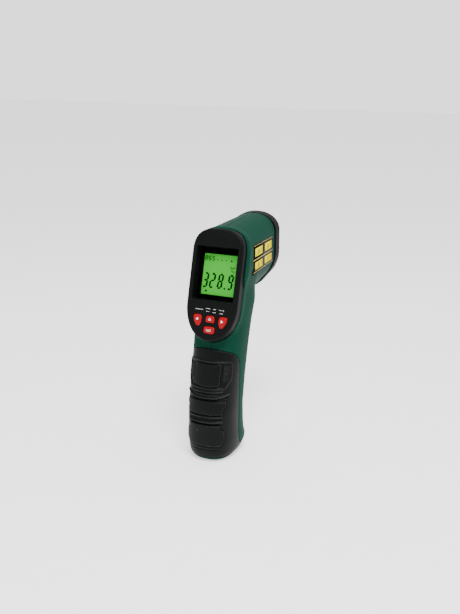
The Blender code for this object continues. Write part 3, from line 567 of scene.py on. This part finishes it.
def surface(name, code, roughness, spread=0.12, spots=55.0, grain=2600.0, depth=0.00002, edge_highlight=None,
            metallic=0.0, specular=0.5, coat=0.0, glow=None, alpha=1.0, edges=(0.54, 0.68)):
    """A finish with slow changes of colour and gloss, a fine grain, and a painted highlight: a lighter colour
    on its convex edges.
    """
    made = bpy.data.materials.new(name)
    made.use_nodes = True
    nodes, links = made.node_tree.nodes, made.node_tree.links
    shader = nodes["Principled BSDF"]
    place = nodes.new("ShaderNodeTexCoord")
    slow = nodes.new("ShaderNodeTexNoise")
    slow.inputs["Scale"].default_value = spots
    slow.inputs["Detail"].default_value = 4.0
    links.new(place.outputs["Object"], slow.inputs["Vector"])
    colours = nodes.new("ShaderNodeValToRGB")
    colour = linear(code)
    colours.color_ramp.elements[0].position = 0.3
    colours.color_ramp.elements[1].position = 0.7
    colours.color_ramp.elements[0].color = (*[c * (1 - spread) for c in colour], 1)
    colours.color_ramp.elements[1].color = (*[min(1.0, c * (1 + spread)) for c in colour], 1)
    links.new(slow.outputs["Fac"], colours.inputs["Fac"])
    out = colours.outputs["Color"]
    # painted highlight: the lighter colour is mixed in where the surface is convex, by pointiness
    if edge_highlight:
        geometry = nodes.new("ShaderNodeNewGeometry")
        edge = nodes.new("ShaderNodeMapRange")
        edge.inputs["From Min"].default_value = edges[0]
        edge.inputs["From Max"].default_value = edges[1]
        edge.inputs["To Max"].default_value = 0.30
        links.new(geometry.outputs["Pointiness"], edge.inputs["Value"])
        mix = nodes.new("ShaderNodeMix")
        mix.data_type = "RGBA"
        mix.inputs["B"].default_value = (*linear(edge_highlight), 1)
        links.new(edge.outputs["Result"], mix.inputs["Factor"])
        links.new(out, mix.inputs["A"])
        out = mix.outputs["Result"]
    links.new(out, shader.inputs["Base Color"])
    gloss = nodes.new("ShaderNodeMapRange")
    gloss.inputs["To Min"].default_value = max(0.02, roughness - 0.07)
    gloss.inputs["To Max"].default_value = min(1.0, roughness + 0.07)
    links.new(slow.outputs["Fac"], gloss.inputs["Value"])
    links.new(gloss.outputs["Result"], shader.inputs["Roughness"])
    fine = nodes.new("ShaderNodeTexNoise")
    fine.inputs["Scale"].default_value = grain
    fine.inputs["Detail"].default_value = 2.0
    links.new(place.outputs["Object"], fine.inputs["Vector"])
    bump = nodes.new("ShaderNodeBump")
    bump.inputs["Distance"].default_value = depth
    bump.inputs["Strength"].default_value = 0.6
    links.new(fine.outputs["Fac"], bump.inputs["Height"])
    links.new(bump.outputs["Normal"], shader.inputs["Normal"])
    shader.inputs["Metallic"].default_value = metallic
    shader.inputs["Specular IOR Level"].default_value = specular
    shader.inputs["Coat Weight"].default_value = coat
    shader.inputs["Coat Roughness"].default_value = 0.08
    shader.inputs["Alpha"].default_value = alpha
    if glow:
        links.new(out, shader.inputs["Emission Color"])
        shader.inputs["Emission Strength"].default_value = glow
    return made


# The lighter edge colours of the green and black plastics are painted highlights on convex edges.
GREEN = surface("green_plastic", "0a3428", 0.55, spread=0.06, edge_highlight="1c4c3c", specular=0.02)
BLACK = surface("black_plastic", "080a0a", 0.52, spread=0.10, edge_highlight="222424", specular=0.07)
# The grip's pale edge colour is a painted highlight along its ridges and rims.
RUBBER = surface("grip_rubber", "050606", 0.50, spread=0.15, grain=1500.0, depth=0.00004, edge_highlight="5c5e60",
                 specular=0.10, edges=(0.515, 0.60))
RING = surface("ring_plastic", "0e0c0e", 0.55, spread=0.10, specular=0.05)
GLASS = surface("window_glass", "060807", 0.30, spread=0.01, depth=0.0, specular=0.0, alpha=0.03)
MASK = surface("window_mask", "010101", 0.60, spread=0.10, specular=0.02)
LCD_GREEN = surface("lcd_green", "33932a", 0.50, spread=0.06, spots=30.0, glow=0.45, specular=0.05)
INK = surface("lcd_segments", "021a01", 0.60, spread=0.10, specular=0.02)
# The keys' lighter edge colour is a painted highlight on convex edges.
RED = surface("key_red", "8a0810", 0.42, spread=0.08, edge_highlight="b03a34", specular=0.12)
PRINT = surface("white_print", "e9e9e4", 0.50, spread=0.04)
LABEL_BLACK = surface("label_black", "070603", 0.50, spread=0.10, specular=0.05)
LABEL_YELLOW = surface("label_yellow", "d6cc00", 0.60, spread=0.06, spots=160.0, specular=0.0)
LABEL_GOLD = surface("label_gold", "b89600", 0.60, spread=0.12, spots=200.0, specular=0.0)
LABEL_PALE = surface("label_pale", "b3a060", 0.60, spread=0.05, specular=0.0)
STEEL = surface("steel", "b9bbbe", 0.32, spread=0.06, spots=300.0, grain=4000.0, metallic=1.0)
BRASS = surface("brass", "c79b4b", 0.34, spread=0.08, spots=200.0, metallic=1.0)
LENS = surface("lens_dark", "241e26", 0.08, spread=0.10, coat=0.6)
BOARD = surface("circuit_board", "0d5a2c", 0.45, spread=0.18, spots=420.0)
CELL = surface("cell_wrap", "26357c", 0.35, spread=0.12, spots=90.0)
WHITE = surface("white_plastic", "dcdcd6", 0.42, spread=0.04)
WIRE_RED = surface("wire_red", "a81512", 0.45, spread=0.10)
WIRE_BLACK = surface("wire_black", "131313", 0.45, spread=0.10)

# ---------------------------------------------------------------- housing and grip
for name, side, low_x, high_x in (("left", -1, -22.0, 0.8), ("right", 1, -0.8, 22.0)):
    skin(f"housing_skin_{name}", housing_field(side), (low_x, -22.0, -1.5), (high_x, 67.0, 157.5), 0.6, GREEN,
         nodes=[f"housing_{name}"])
skin("grip_skin", grip_field, (-19.2, -24.2, 0.6), (19.2, 14.0, 84.0), 0.37, RUBBER, nodes=["rear_grip"])

# ---------------------------------------------------------------- bezel, window and keys
KEYS = {    # centre u, top v, half width, upper, lower, bottom, top power, bottom power
    "left": (-9.1, -27.0, 3.0, -1.5, -2.6, -7.9, 3.0, 1.7),
    "right": (9.7, -27.0, 3.0, -1.5, -2.6, -7.9, 3.0, 1.7),
    "up": (0.3, -27.1, 3.25, -1.9, -3.4, -4.75, 2.4, 4.0),
    "down": (0.3, -34.3, 4.0, -1.7, -3.2, -4.9, 3.0, 3.0),
}
KEY_TOP = 7.8
LEAN = {"left": 1.0, "right": -1.0}     # how far a key's lower tip is moved sideways


def key_outline(key, u, v, grow=0.0):
    centre, top, half, upper, lower, bottom, top_power, bottom_power = KEYS[key]
    u = u - centre - LEAN.get(key, 0.0) * (v - top) / bottom
    return capped(u, v - top, half + grow, grow, upper, lower, bottom - grow, top_power, bottom_power)


def bezel_field(u, v, h):
    outside = bezel_outline(u, v)
    slab = common(outside, h - BEZEL_FACE, 1.9)
    slab = np.maximum(slab, BEZEL_BASE - h)
    skirt = np.maximum(np.maximum(outside, -1.2 - outside),
                       np.maximum(BEZEL_BASE - 2.4 - h, h - BEZEL_BASE - 1.2))
    tray = np.maximum(block(u, v - POCKET_MIDDLE, 15.9, 18.15, 1.0),
                      np.maximum(-0.2 - h, h - BEZEL_BASE - 0.5))
    shell = np.minimum(np.minimum(slab, skirt), tray)
    draft = 0.10 * (h - POCKET_FLOOR)
    pocket = block(u, v - POCKET_MIDDLE, 14.2 + draft, 17.25 + draft, 1.2)
    shell = cut(shell, np.maximum(pocket, POCKET_FLOOR - h), 0.45)
    shell = cut(shell, np.maximum(block(u, v, 12.9, 14.2, 0.5), h - 3.0))
    key_room = capped(u, v, 16.0, -21.5, -23.0, -23.4, -42.0, 8.0, 2.1)
    shell = cut(shell, np.maximum(key_room, h - BEZEL_FACE + 1.6), 0.2)
    for key in KEYS:
        shell = cut(shell, np.maximum(key_outline(key, u, v, 0.25), BEZEL_BASE - h), 0.3)
    return shell


def key_field(key):
    centre, top, half, upper, lower, bottom, _, _ = KEYS[key]
    middle = top + bottom / 2
    stem_u = centre + LEAN.get(key, 0.0) / 2

    def field(u, v, h):
        cap_top = KEY_TOP - 0.030 * ((u - stem_u) ** 2 + (v - middle) ** 2)
        cap = common(key_outline(key, u, v), h - cap_top, 0.6)
        flange = np.maximum(key_outline(key, u, v, 0.4), h - 5.3)
        stem = np.maximum(block(u - stem_u, v - middle - 0.4, 1.3, 1.3, 0.3), h - 5.0)
        return np.minimum(np.maximum(np.minimum(cap, flange), 4.4 - h), np.maximum(stem, -1.4 - h))
    return field


def window_field(u, v, h):
    return common(block(u, v - POCKET_MIDDLE, 14.0, 17.05, 1.1), np.abs(h - 1.75) - 0.55, 0.2)


def mask_field(u, v, h):
    """The printed frame under the window, with its opening 0.45 to the right of the middle."""
    ring = np.maximum(block(u, v - POCKET_MIDDLE, 14.05, 17.1, 1.1), -block(u - 0.45, v, 11.85, 13.6, 0.25))
    return np.maximum(ring, np.abs(h - 1.0) - 0.2)


def lcd_field(u, v, h):
    return common(block(u, v, 12.75, 14.05, 0.3), np.abs(h - 0.1) - 0.5, 0.15)


skin("bezel_skin", bezel_field, (-19.2, -45.5, -1.6), (19.2, 31.4, 8.2), 0.32, BLACK,
     nodes=["display_bezel"], display=True)
skin("window_skin", window_field, (-14.8, -17.4, 0.6), (14.8, 18.4, 2.9), 0.3, GLASS,
     nodes=["display_window"], display=True)
skin("window_mask", mask_field, (-14.8, -17.4, 0.5), (14.8, 18.4, 1.6), 0.2, MASK, display=True)
skin("lcd_face", lcd_field, (-13.4, -14.7, -0.8), (13.4, 14.7, 1.0), 0.3, LCD_GREEN, display=True)
for key, (centre, top, half, upper, lower, bottom, _, _) in KEYS.items():
    skin(f"key_{key}_skin", key_field(key), (centre - half - 2.0, top + bottom - 1.0, -2.0),
         (centre + half + 2.0, top + 1.0, 9.0), 0.2, RED, f"key_{key}_body", [f"key_{key}"], display=True)


# ---------------------------------------------------------------- what the display and keys show
SEGMENTS = {    # ends of each bar in a digit one wide and two high, from its lower left corner
    "a": ((0, 2), (1, 2)), "b": ((1, 2), (1, 1)), "c": ((1, 1), (1, 0)), "d": ((0, 0), (1, 0)),
    "e": ((0, 1), (0, 0)), "f": ((0, 2), (0, 1)), "g": ((0, 1), (1, 1)),
}
DIGITS = {"2": "abged", "3": "abgcd", "5": "afgcd", "6": "afgedc", "8": "abcdefg", "9": "abcdfg"}


SLANT = 0.12            # of the digits, across for each millimetre up
SEGMENT_GAP = 0.12      # between two bars, as a share of their thickness


def digit(value, left, low, width, height, thick):
    """The bars that are lit for one digit."""
    plates = []
    for name in DIGITS[value]:
        ends = []
        for a, b in SEGMENTS[name]:
            y = low + b * height / 2
            ends.append((left + a * width + (y - low) * SLANT, y))
        (x1, y1), (x2, y2) = ends
        gap = thick * SEGMENT_GAP / math.hypot(x2 - x1, y2 - y1)
        ends = [(x1 + (x2 - x1) * gap, y1 + (y2 - y1) * gap), (x2 - (x2 - x1) * gap, y2 - (y2 - y1) * gap)]
        plates.append(bar(*ends, thick))
    return plates


def decal(name, outlines, low, high, paint, body=BODY, place=on_display):
    return piece(name, prism_mesh([(points, low, high) for points in outlines], place), paint, body)


marks = []
for value, left in (("3", -10.8), ("2", -5.9), ("8", -0.1), ("9", 7.1)):
    marks += digit(value, left, -8.6, 2.6, 9.0, 1.25)
marks.append(disc((5.1, -8.6), 0.65))
for value, left in (("8", -11.0), ("6", -8.4), ("5", -5.8)):
    marks += digit(value, left, 9.2, 1.5, 2.7, 0.55)
for u in (-1.9, 1.2, 4.3):
    marks.append(disc((u, 9.9), 0.42, 12))
marks += [disc((8.2, 9.9), 0.62, 16), disc((8.3, 5.6), 0.45, 12), bar((9.3, 5.5), (11.1, 5.5), 0.5),
          bar((9.2, 5.4), (9.0, 3.1), 0.5), bar((9.0, 3.0), (10.8, 3.0), 0.5), disc((-8.0, -11.3), 0.68, 16)]
decal("lcd_segments", marks, 0.58, 0.66, INK)

legends = []            # short strokes in place of words
LEGEND_PITCH = 0.95
for left, right, height in ((-10.9, -5.2, -23.7), (-3.7, -0.1, -22.7), (-3.1, -0.7, -24.6), (1.5, 4.0, -22.8),
                            (1.6, 4.0, -24.9), (6.0, 9.9, -22.9), (6.7, 9.5, -25.0)):
    count = max(2, round((right - left) / LEGEND_PITCH))
    for i in range(count):
        start = left + (right - left) * i / count
        legends.append(bar((start, height), (start + 0.62, height + 0.05), 0.62 if i % 2 else 0.8))
decal("key_legends", legends, BEZEL_FACE - 0.08, BEZEL_FACE + 0.03, PRINT)

low, high = KEY_TOP - 0.5, KEY_TOP + 0.06
decal("arrow_left", [[(-9.8, -30.2), (-8.2, -29.2), (-8.2, -31.2)]], low, high, PRINT, "key_left_body")
decal("arrow_right", [[(10.1, -30.2), (8.5, -31.2), (8.5, -29.2)]], low, high, PRINT, "key_right_body")
decal("arrow_up", [bar((-0.6, -30.1), (0.3, -28.7), 0.26), bar((0.3, -28.7), (1.2, -30.1), 0.26),
                   bar((-0.6, -30.1), (1.2, -30.1), 0.26)], low, high, PRINT, "key_up_body")
decal("mark_down", [bar((-1.1, -36.1), (-1.1, -37.2), 0.26), bar((-1.1, -37.3), (1.7, -37.3), 0.26),
                    bar((1.7, -37.2), (1.7, -36.1), 0.26), bar((-0.3, -36.3), (0.3, -36.8), 0.26),
                    bar((0.3, -36.8), (0.9, -36.3), 0.26)], low, high, PRINT, "key_down_body")


# ---------------------------------------------------------------- side label
def on_barrel(points):
    """Points given as (y, z, height over the barrel's right side)."""
    points = np.asarray(points, float)
    return np.stack([barrel_half_width(points[:, 0]) + points[:, 2], points[:, 0], points[:, 1]], axis=1)


def on_label(across, up):
    """A place on the label, for shares of its length from the rear and of its height."""
    (rear, rear_low), (front, front_low), (_, front_high), (_, rear_high) = LABEL_CORNERS
    low = rear_low + (front_low - rear_low) * across
    high = rear_high + (front_high - rear_high) * across
    return rear + (front - rear) * across, low + (high - low) * up


def label_area(left, right, low, high):
    return [on_label(left, low), on_label(right, low), on_label(right, high), on_label(left, high)]


# The black base reaches past the label's outline, most at its lower rear corner.
border = [on_label(-0.06, -0.05), on_label(1.01, -0.025), on_label(1.01, 1.025), on_label(-0.012, 1.025)]
decal("label_base", [border], -0.18, 0.06, LABEL_BLACK, place=on_barrel)
lines = [label_area(0.0, 1.0, 0.0, 0.015), label_area(0.0, 1.0, 0.987, 1.0), label_area(0.0, 1.0, 0.45, 0.48)]
decal("label_lines", lines, 0.05, 0.10, LABEL_PALE, place=on_barrel)
panels, shapes = [], []
for left, right in ((0.08, 0.45), (0.58, 0.94)):
    for low, high in ((0.09, 0.36), (0.58, 0.88)):
        panels.append(label_area(left, right, low, high))
        middle = (left + right) / 2
        shapes.append(disc(on_label(middle - 0.02, (low + high) / 2), 2.0, 20))
        for share in (0.28, 0.5, 0.72):
            height = low + (high - low) * share
            shapes.append(bar(on_label(middle + 0.075, height), on_label(right - 0.025, height), 0.5))
decal("label_panels", panels, 0.05, 0.11, LABEL_YELLOW, place=on_barrel)
decal("label_shapes", shapes, 0.10, 0.15, LABEL_GOLD, place=on_barrel)
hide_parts("side_label")

# ---------------------------------------------------------------- nose and optics
RING_REAR, RING_FRONT = 65.55, 73.8


def ring_outline(x, z):
    return barrel_section(x, z, 17.0, 156.4, 143.3, 101.9)


def ring_field(x, y, z):
    outside = ring_outline(x, z)
    ring = common(outside, y - RING_FRONT, 1.3)
    ring = common(ring, RING_REAR - y, 0.15)
    return cut(ring, outside + 2.3, 0.5)


def plate_field(x, y, z):
    plate = np.maximum(ring_outline(x, z) + 2.5, np.abs(y - 69.6) - 1.3)
    plate = cut(plate, rod(x, z, OPTICS_BORE, (0.0, OPTICS_HEIGHT)), 0.4)
    return cut(plate, rod(x, z, 2.6, (0.0, LASER_HEIGHT)), 0.4)


skin("ring_skin", ring_field, (-17.9, 65.0, 100.8), (17.9, 74.6, 157.4), 0.35, RING, nodes=["nose_ring"])
skin("plate_skin", plate_field, (-15.9, 67.6, 103.0), (15.9, 71.6, 155.4), 0.35, BLACK, nodes=["nose_plate"])
TUBE_PROFILE = (        # radius, distance from the tube's rear; the bore widens in steps towards the front
    (9.0, 40.5), (9.3, 40.45), (9.5, 40.2), (9.5, 0.2), (9.3, 0.0), (4.9, 0.0), (4.9, 6.0), (6.5, 6.0),
    (6.5, 28.0), (7.9, 28.0), (7.9, 31.0), (8.1, 31.3), (8.1, 33.0), (8.35, 33.2), (8.35, 35.0),
    (8.6, 35.2), (8.6, 37.0), (8.75, 37.2), (8.75, 39.6), (8.85, 40.3),
)
LENS_PROFILE = ((0.0, 30.6), (1.5, 30.56), (3.0, 30.44), (4.5, 30.2), (6.0, 29.9), (7.2, 29.55), (7.5, 29.3),
                (7.5, 28.3), (0.0, 28.3))
LASER_PROFILE = ((0.0, 1.25), (1.0, 1.2), (1.8, 1.0), (2.2, 0.7), (2.2, 0.0), (0.0, 0.0))
along, tube_rear, laser_rear = (0.0, 1.0, 0.0), (0.0, 31.5, OPTICS_HEIGHT), (0.0, 63.3, LASER_HEIGHT)
turned("tube_skin", TUBE_PROFILE, tube_rear, along, BLACK, nodes=["ir_tube"])
turned("lens_skin", LENS_PROFILE, tube_rear, along, LENS, nodes=["ir_lens"])
turned("laser_lens_skin", LASER_PROFILE, laser_rear, along, LENS, nodes=["laser_lens"], sides=48)

# ---------------------------------------------------------------- trigger, door and screws
PIVOT_Y, PIVOT_Z = TRIGGER_PIVOT
TRIGGER_OUTLINE = (     # Y, Z from the pin
    (-3.0, 1.6), (-1.0, 3.1), (1.6, 3.0), (4.2, 1.6), (8.2, -0.9), (10.6, -3.6), (10.9, -6.4),
    (10.3, -10.0), (9.2, -14.0), (8.8, -18.0), (9.3, -22.0), (10.5, -25.0), (10.9, -26.4),
    (9.9, -27.2), (6.8, -27.4), (3.6, -27.1), (1.0, -26.2), (-0.3, -24.0), (-0.8, -19.0),
    (-1.2, -14.0), (-2.0, -9.0), (-3.0, -4.0), (-3.4, -1.2),
)
FINGER_Z, FINGER_RIB_PITCH = 92.0, 2.4
trigger_points = [(PIVOT_Y + y, PIVOT_Z + z) for y, z in smooth(TRIGGER_OUTLINE, 4)]


def trigger_field(x, y, z):
    """The lever, with ribs across the finger's hollow."""
    ribs = 0.28 * np.cos((z - FINGER_Z) * 2 * math.pi / FINGER_RIB_PITCH)
    ribs = ribs * step((y - 33.0) / 1.5) * step((8.5 - np.abs(z - FINGER_Z)) / 1.5)
    lever = common(polygon(y, z, trigger_points) - ribs * step((5.0 - np.abs(x)) / 1.0), np.abs(x) - 6.0, 1.3)
    return cut(lever, rod(y, z, PIN_HOLE, TRIGGER_PIVOT))


THUMB_Z, THUMB_RIB_PITCH = 66.0, 2.0


def door_field(x, y, z):
    """The battery door, with a ribbed pad for the thumb and two notches for the housing's lugs."""
    outside = handle(x, y, z)
    pad = block(x, z - THUMB_Z, 7.0, 5.0, 2.0)
    ridges = 0.45 * (0.5 + 0.5 * np.cos((z - THUMB_Z) * 2 * math.pi / THUMB_RIB_PITCH)) * step(-pad / 0.8)
    outside = outside + 0.55 * step(-pad / 0.8) - ridges
    door = cut(common(outside, door_region(x, y, z), 0.35), handle(x, y, z) + WALL, 0.2)
    notch = np.maximum(np.abs(np.abs(x) - LUG_MIDDLE) - 1.45, block(y - DOOR_AXIS[0], z - 7.0, 8.0, 3.0, 0.2))
    door = cut(door, notch, 0.2)
    knuckle = common(rod(y, z, 1.5, DOOR_AXIS), np.abs(x) - 3.7, 0.2)
    return cut(join(door, knuckle, 0.2), rod(y, z, 1.1, DOOR_AXIS))


def screw_field(x, y, z):
    """A cross-head screw along X, with the middle of its head face at the origin."""
    r = np.hypot(y, z)
    head = common(r - 2.6, np.abs(x - 0.9) - 0.9, 0.35)
    cross = np.minimum(block(y, z, 1.5, 0.32, 0.1), block(y, z, 0.32, 1.5, 0.1))
    head = cut(head, np.maximum(cross, x - 1.1), 0.1)
    shank = common(r - 1.4, np.abs(x - 10.6) - 9.8, 0.4)
    return np.minimum(head, shank)


skin("trigger_skin", trigger_field, (-7.0, 22.6, 81.6), (7.0, 39.0, 114.2), 0.3, GREEN,
     "trigger_body", ["trigger"])
skin("door_skin", door_field, (-18.2, 9.0, 4.4), (18.2, 30.6, 78.6), 0.45, GREEN,
     "battery_door_body", ["battery_door"])

SPRING_REAR, SPRING_FRONT, SPRING_HEIGHT = 14.4, 24.0, 101.0
SPRING_RADIUS, SPRING_WIRE, SPRING_TURNS = 2.2, 0.3, 5
TURN_STEPS, WIRE_SIDES = 24, 10


def spring_mesh():
    """A wire along a coil that runs ahead from SPRING_REAR to SPRING_FRONT."""
    count = SPRING_TURNS * TURN_STEPS
    length = SPRING_FRONT - SPRING_REAR - 2 * SPRING_WIRE
    coil = []
    for i in range(count + 1):
        angle = 2 * math.pi * i / TURN_STEPS
        coil.append((SPRING_RADIUS * math.cos(angle), SPRING_REAR + SPRING_WIRE + length * (i / count),
                     SPRING_HEIGHT + SPRING_RADIUS * math.sin(angle)))
    coil = np.array(coil)
    ahead = np.gradient(coil, axis=0)
    ahead /= np.linalg.norm(ahead, axis=1)[:, None]
    outward = (coil - (0.0, 0.0, SPRING_HEIGHT)) * (1.0, 0.0, 1.0)
    outward /= np.linalg.norm(outward, axis=1)[:, None]
    sideways = np.cross(ahead, outward)
    shape = bmesh.new()
    rings = []
    for middle, out, side in zip(coil, outward, sideways):
        rings.append([shape.verts.new((middle + SPRING_WIRE * (out * math.cos(a) + side * math.sin(a))) * 0.001)
                      for a in around(WIRE_SIDES)])
    for ring, after in zip(rings, rings[1:]):
        for k in range(WIRE_SIDES):
            n = (k + 1) % WIRE_SIDES
            shape.faces.new((ring[k], ring[n], after[n], after[k]))
    shape.faces.new(rings[0][::-1])
    shape.faces.new(rings[-1])
    bmesh.ops.recalc_face_normals(shape, faces=shape.faces)
    mesh = bpy.data.meshes.new("return_spring")
    shape.to_mesh(mesh)
    shape.free()
    mesh.materials.append(STEEL)
    mesh.shade_smooth()
    return mesh


# the return spring, in place of the CAD's spring
spring = bpy.data.objects.new("return_spring", spring_mesh())
bpy.context.scene.collection.objects.link(spring)
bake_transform(spring)
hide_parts("trigger_spring")

points, quads = nets(screw_field, (-0.6, -3.1, -3.1), (21.2, 3.1, 3.1), 0.22)
for index, (y, z) in enumerate(CASE_SCREWS, start=1):
    placed = (points + np.array((-12.3, y, z))) * 0.001
    piece(f"screw_skin_{index}", mesh_from("screw", placed, quads), STEEL, nodes=[f"case_screw_{index}"])

# ---------------------------------------------------------------- CAD nodes that keep their shape
KEPT = {
    "lcd_panel": LCD_GREEN, "lcd_backlight": WHITE, "lcd_connector": RUBBER, "main_board": BOARD,
    "board_screw_left": STEEL, "board_screw_right": STEEL, "main_chip": BLACK, "flex_socket": WHITE,
    "buzzer": BLACK, "thermopile": STEEL, "sensor_board": BOARD, "laser_module": BRASS, "trigger_pin": STEEL,
    "trigger_board": BOARD, "trigger_switch": BLACK, "switch_plunger": WHITE,
    "door_hinge_pin": STEEL, "battery_left": CELL, "battery_right": CELL, "battery_tray": BLACK,
    "contact_bridge": STEEL, "contact_plate": STEEL, "contact_spring": STEEL, "battery_wire_red": WIRE_RED,
    "battery_wire_black": WIRE_BLACK, "sensor_wires": WIRE_BLACK, "laser_wires": WIRE_RED,
    "switch_wires": WIRE_BLACK, "key_switch_left": BLACK, "key_switch_right": BLACK, "key_switch_up": BLACK,
    "key_switch_down": BLACK,
}
for name, paint in KEPT.items():
    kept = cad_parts[name]
    for slot in kept.material_slots:
        slot.material = paint


# ---------------------------------------------------------------- stage
def look():
    """A pale floor, a world that is bright ahead of the barrel and dimmer behind it, and two lamps."""
    floor_mesh = bpy.data.meshes.new("floor")
    floor_mesh.from_pydata([(-3, -3, 0), (3, -3, 0), (3, 3, 0), (-3, 3, 0)], [], [(0, 1, 2, 3)])
    floor = bpy.data.objects.new("floor", floor_mesh)
    floor.data.materials.append(surface("pale_floor", "f4f4f4", 0.9, spread=0.01, glow=0.9, specular=0.0))
    bpy.context.scene.collection.objects.link(floor)
    world = bpy.data.worlds.new("studio")
    world.use_nodes = True
    nodes, links = world.node_tree.nodes, world.node_tree.links
    place = nodes.new("ShaderNodeTexCoord")
    parted = nodes.new("ShaderNodeSeparateXYZ")
    strength = nodes.new("ShaderNodeMapRange")
    for socket, value in (("From Min", -0.1), ("From Max", 0.6), ("To Min", 0.55), ("To Max", 1.9)):
        strength.inputs[socket].default_value = value
    links.new(place.outputs["Generated"], parted.inputs["Vector"])
    links.new(parted.outputs["Y"], strength.inputs["Value"])
    links.new(strength.outputs["Result"], nodes["Background"].inputs["Strength"])
    nodes["Background"].inputs["Color"].default_value = (1.0, 1.0, 1.0, 1.0)
    bpy.context.scene.world = world
    middle = Vector(DISPLAY_CENTRE * 0.001)
    lamps = (("key", (0.22, -0.30, 0.85), 0.35, 12.5), ("fill", (-0.6, -0.6, 0.4), 0.7, 1.5))
    for name, place, size, power in lamps:
        lamp = bpy.data.lights.new(name, "AREA")
        lamp.size = size
        lamp.energy = power
        made = bpy.data.objects.new(name, lamp)
        made.location = place
        made.rotation_euler = (middle - made.location).to_track_quat("-Z", "Y").to_euler()
        bpy.context.scene.collection.objects.link(made)


def camera():
    """A 50 mm lens from behind and a little above, on the right."""
    azimuth, elevation, distance = math.radians(24.0), math.radians(17.3), 0.5654
    back = Vector((math.sin(azimuth) * math.cos(elevation), -math.cos(azimuth) * math.cos(elevation),
                   math.sin(elevation)))
    turn = back.to_track_quat("Z", "Y")
    right, up = turn @ Vector((1, 0, 0)), turn @ Vector((0, 1, 0))
    target = Vector(DISPLAY_CENTRE * 0.001) + right * 0.00724 - up * 0.0212
    lens = bpy.data.cameras.new("camera")
    lens.lens = 50.0
    lens.sensor_width = 36.0
    made = bpy.data.objects.new("camera", lens)
    made.location = target + back * distance
    made.rotation_euler = turn.to_euler()
    bpy.context.scene.collection.objects.link(made)
    bpy.context.scene.camera = made


look()
camera()
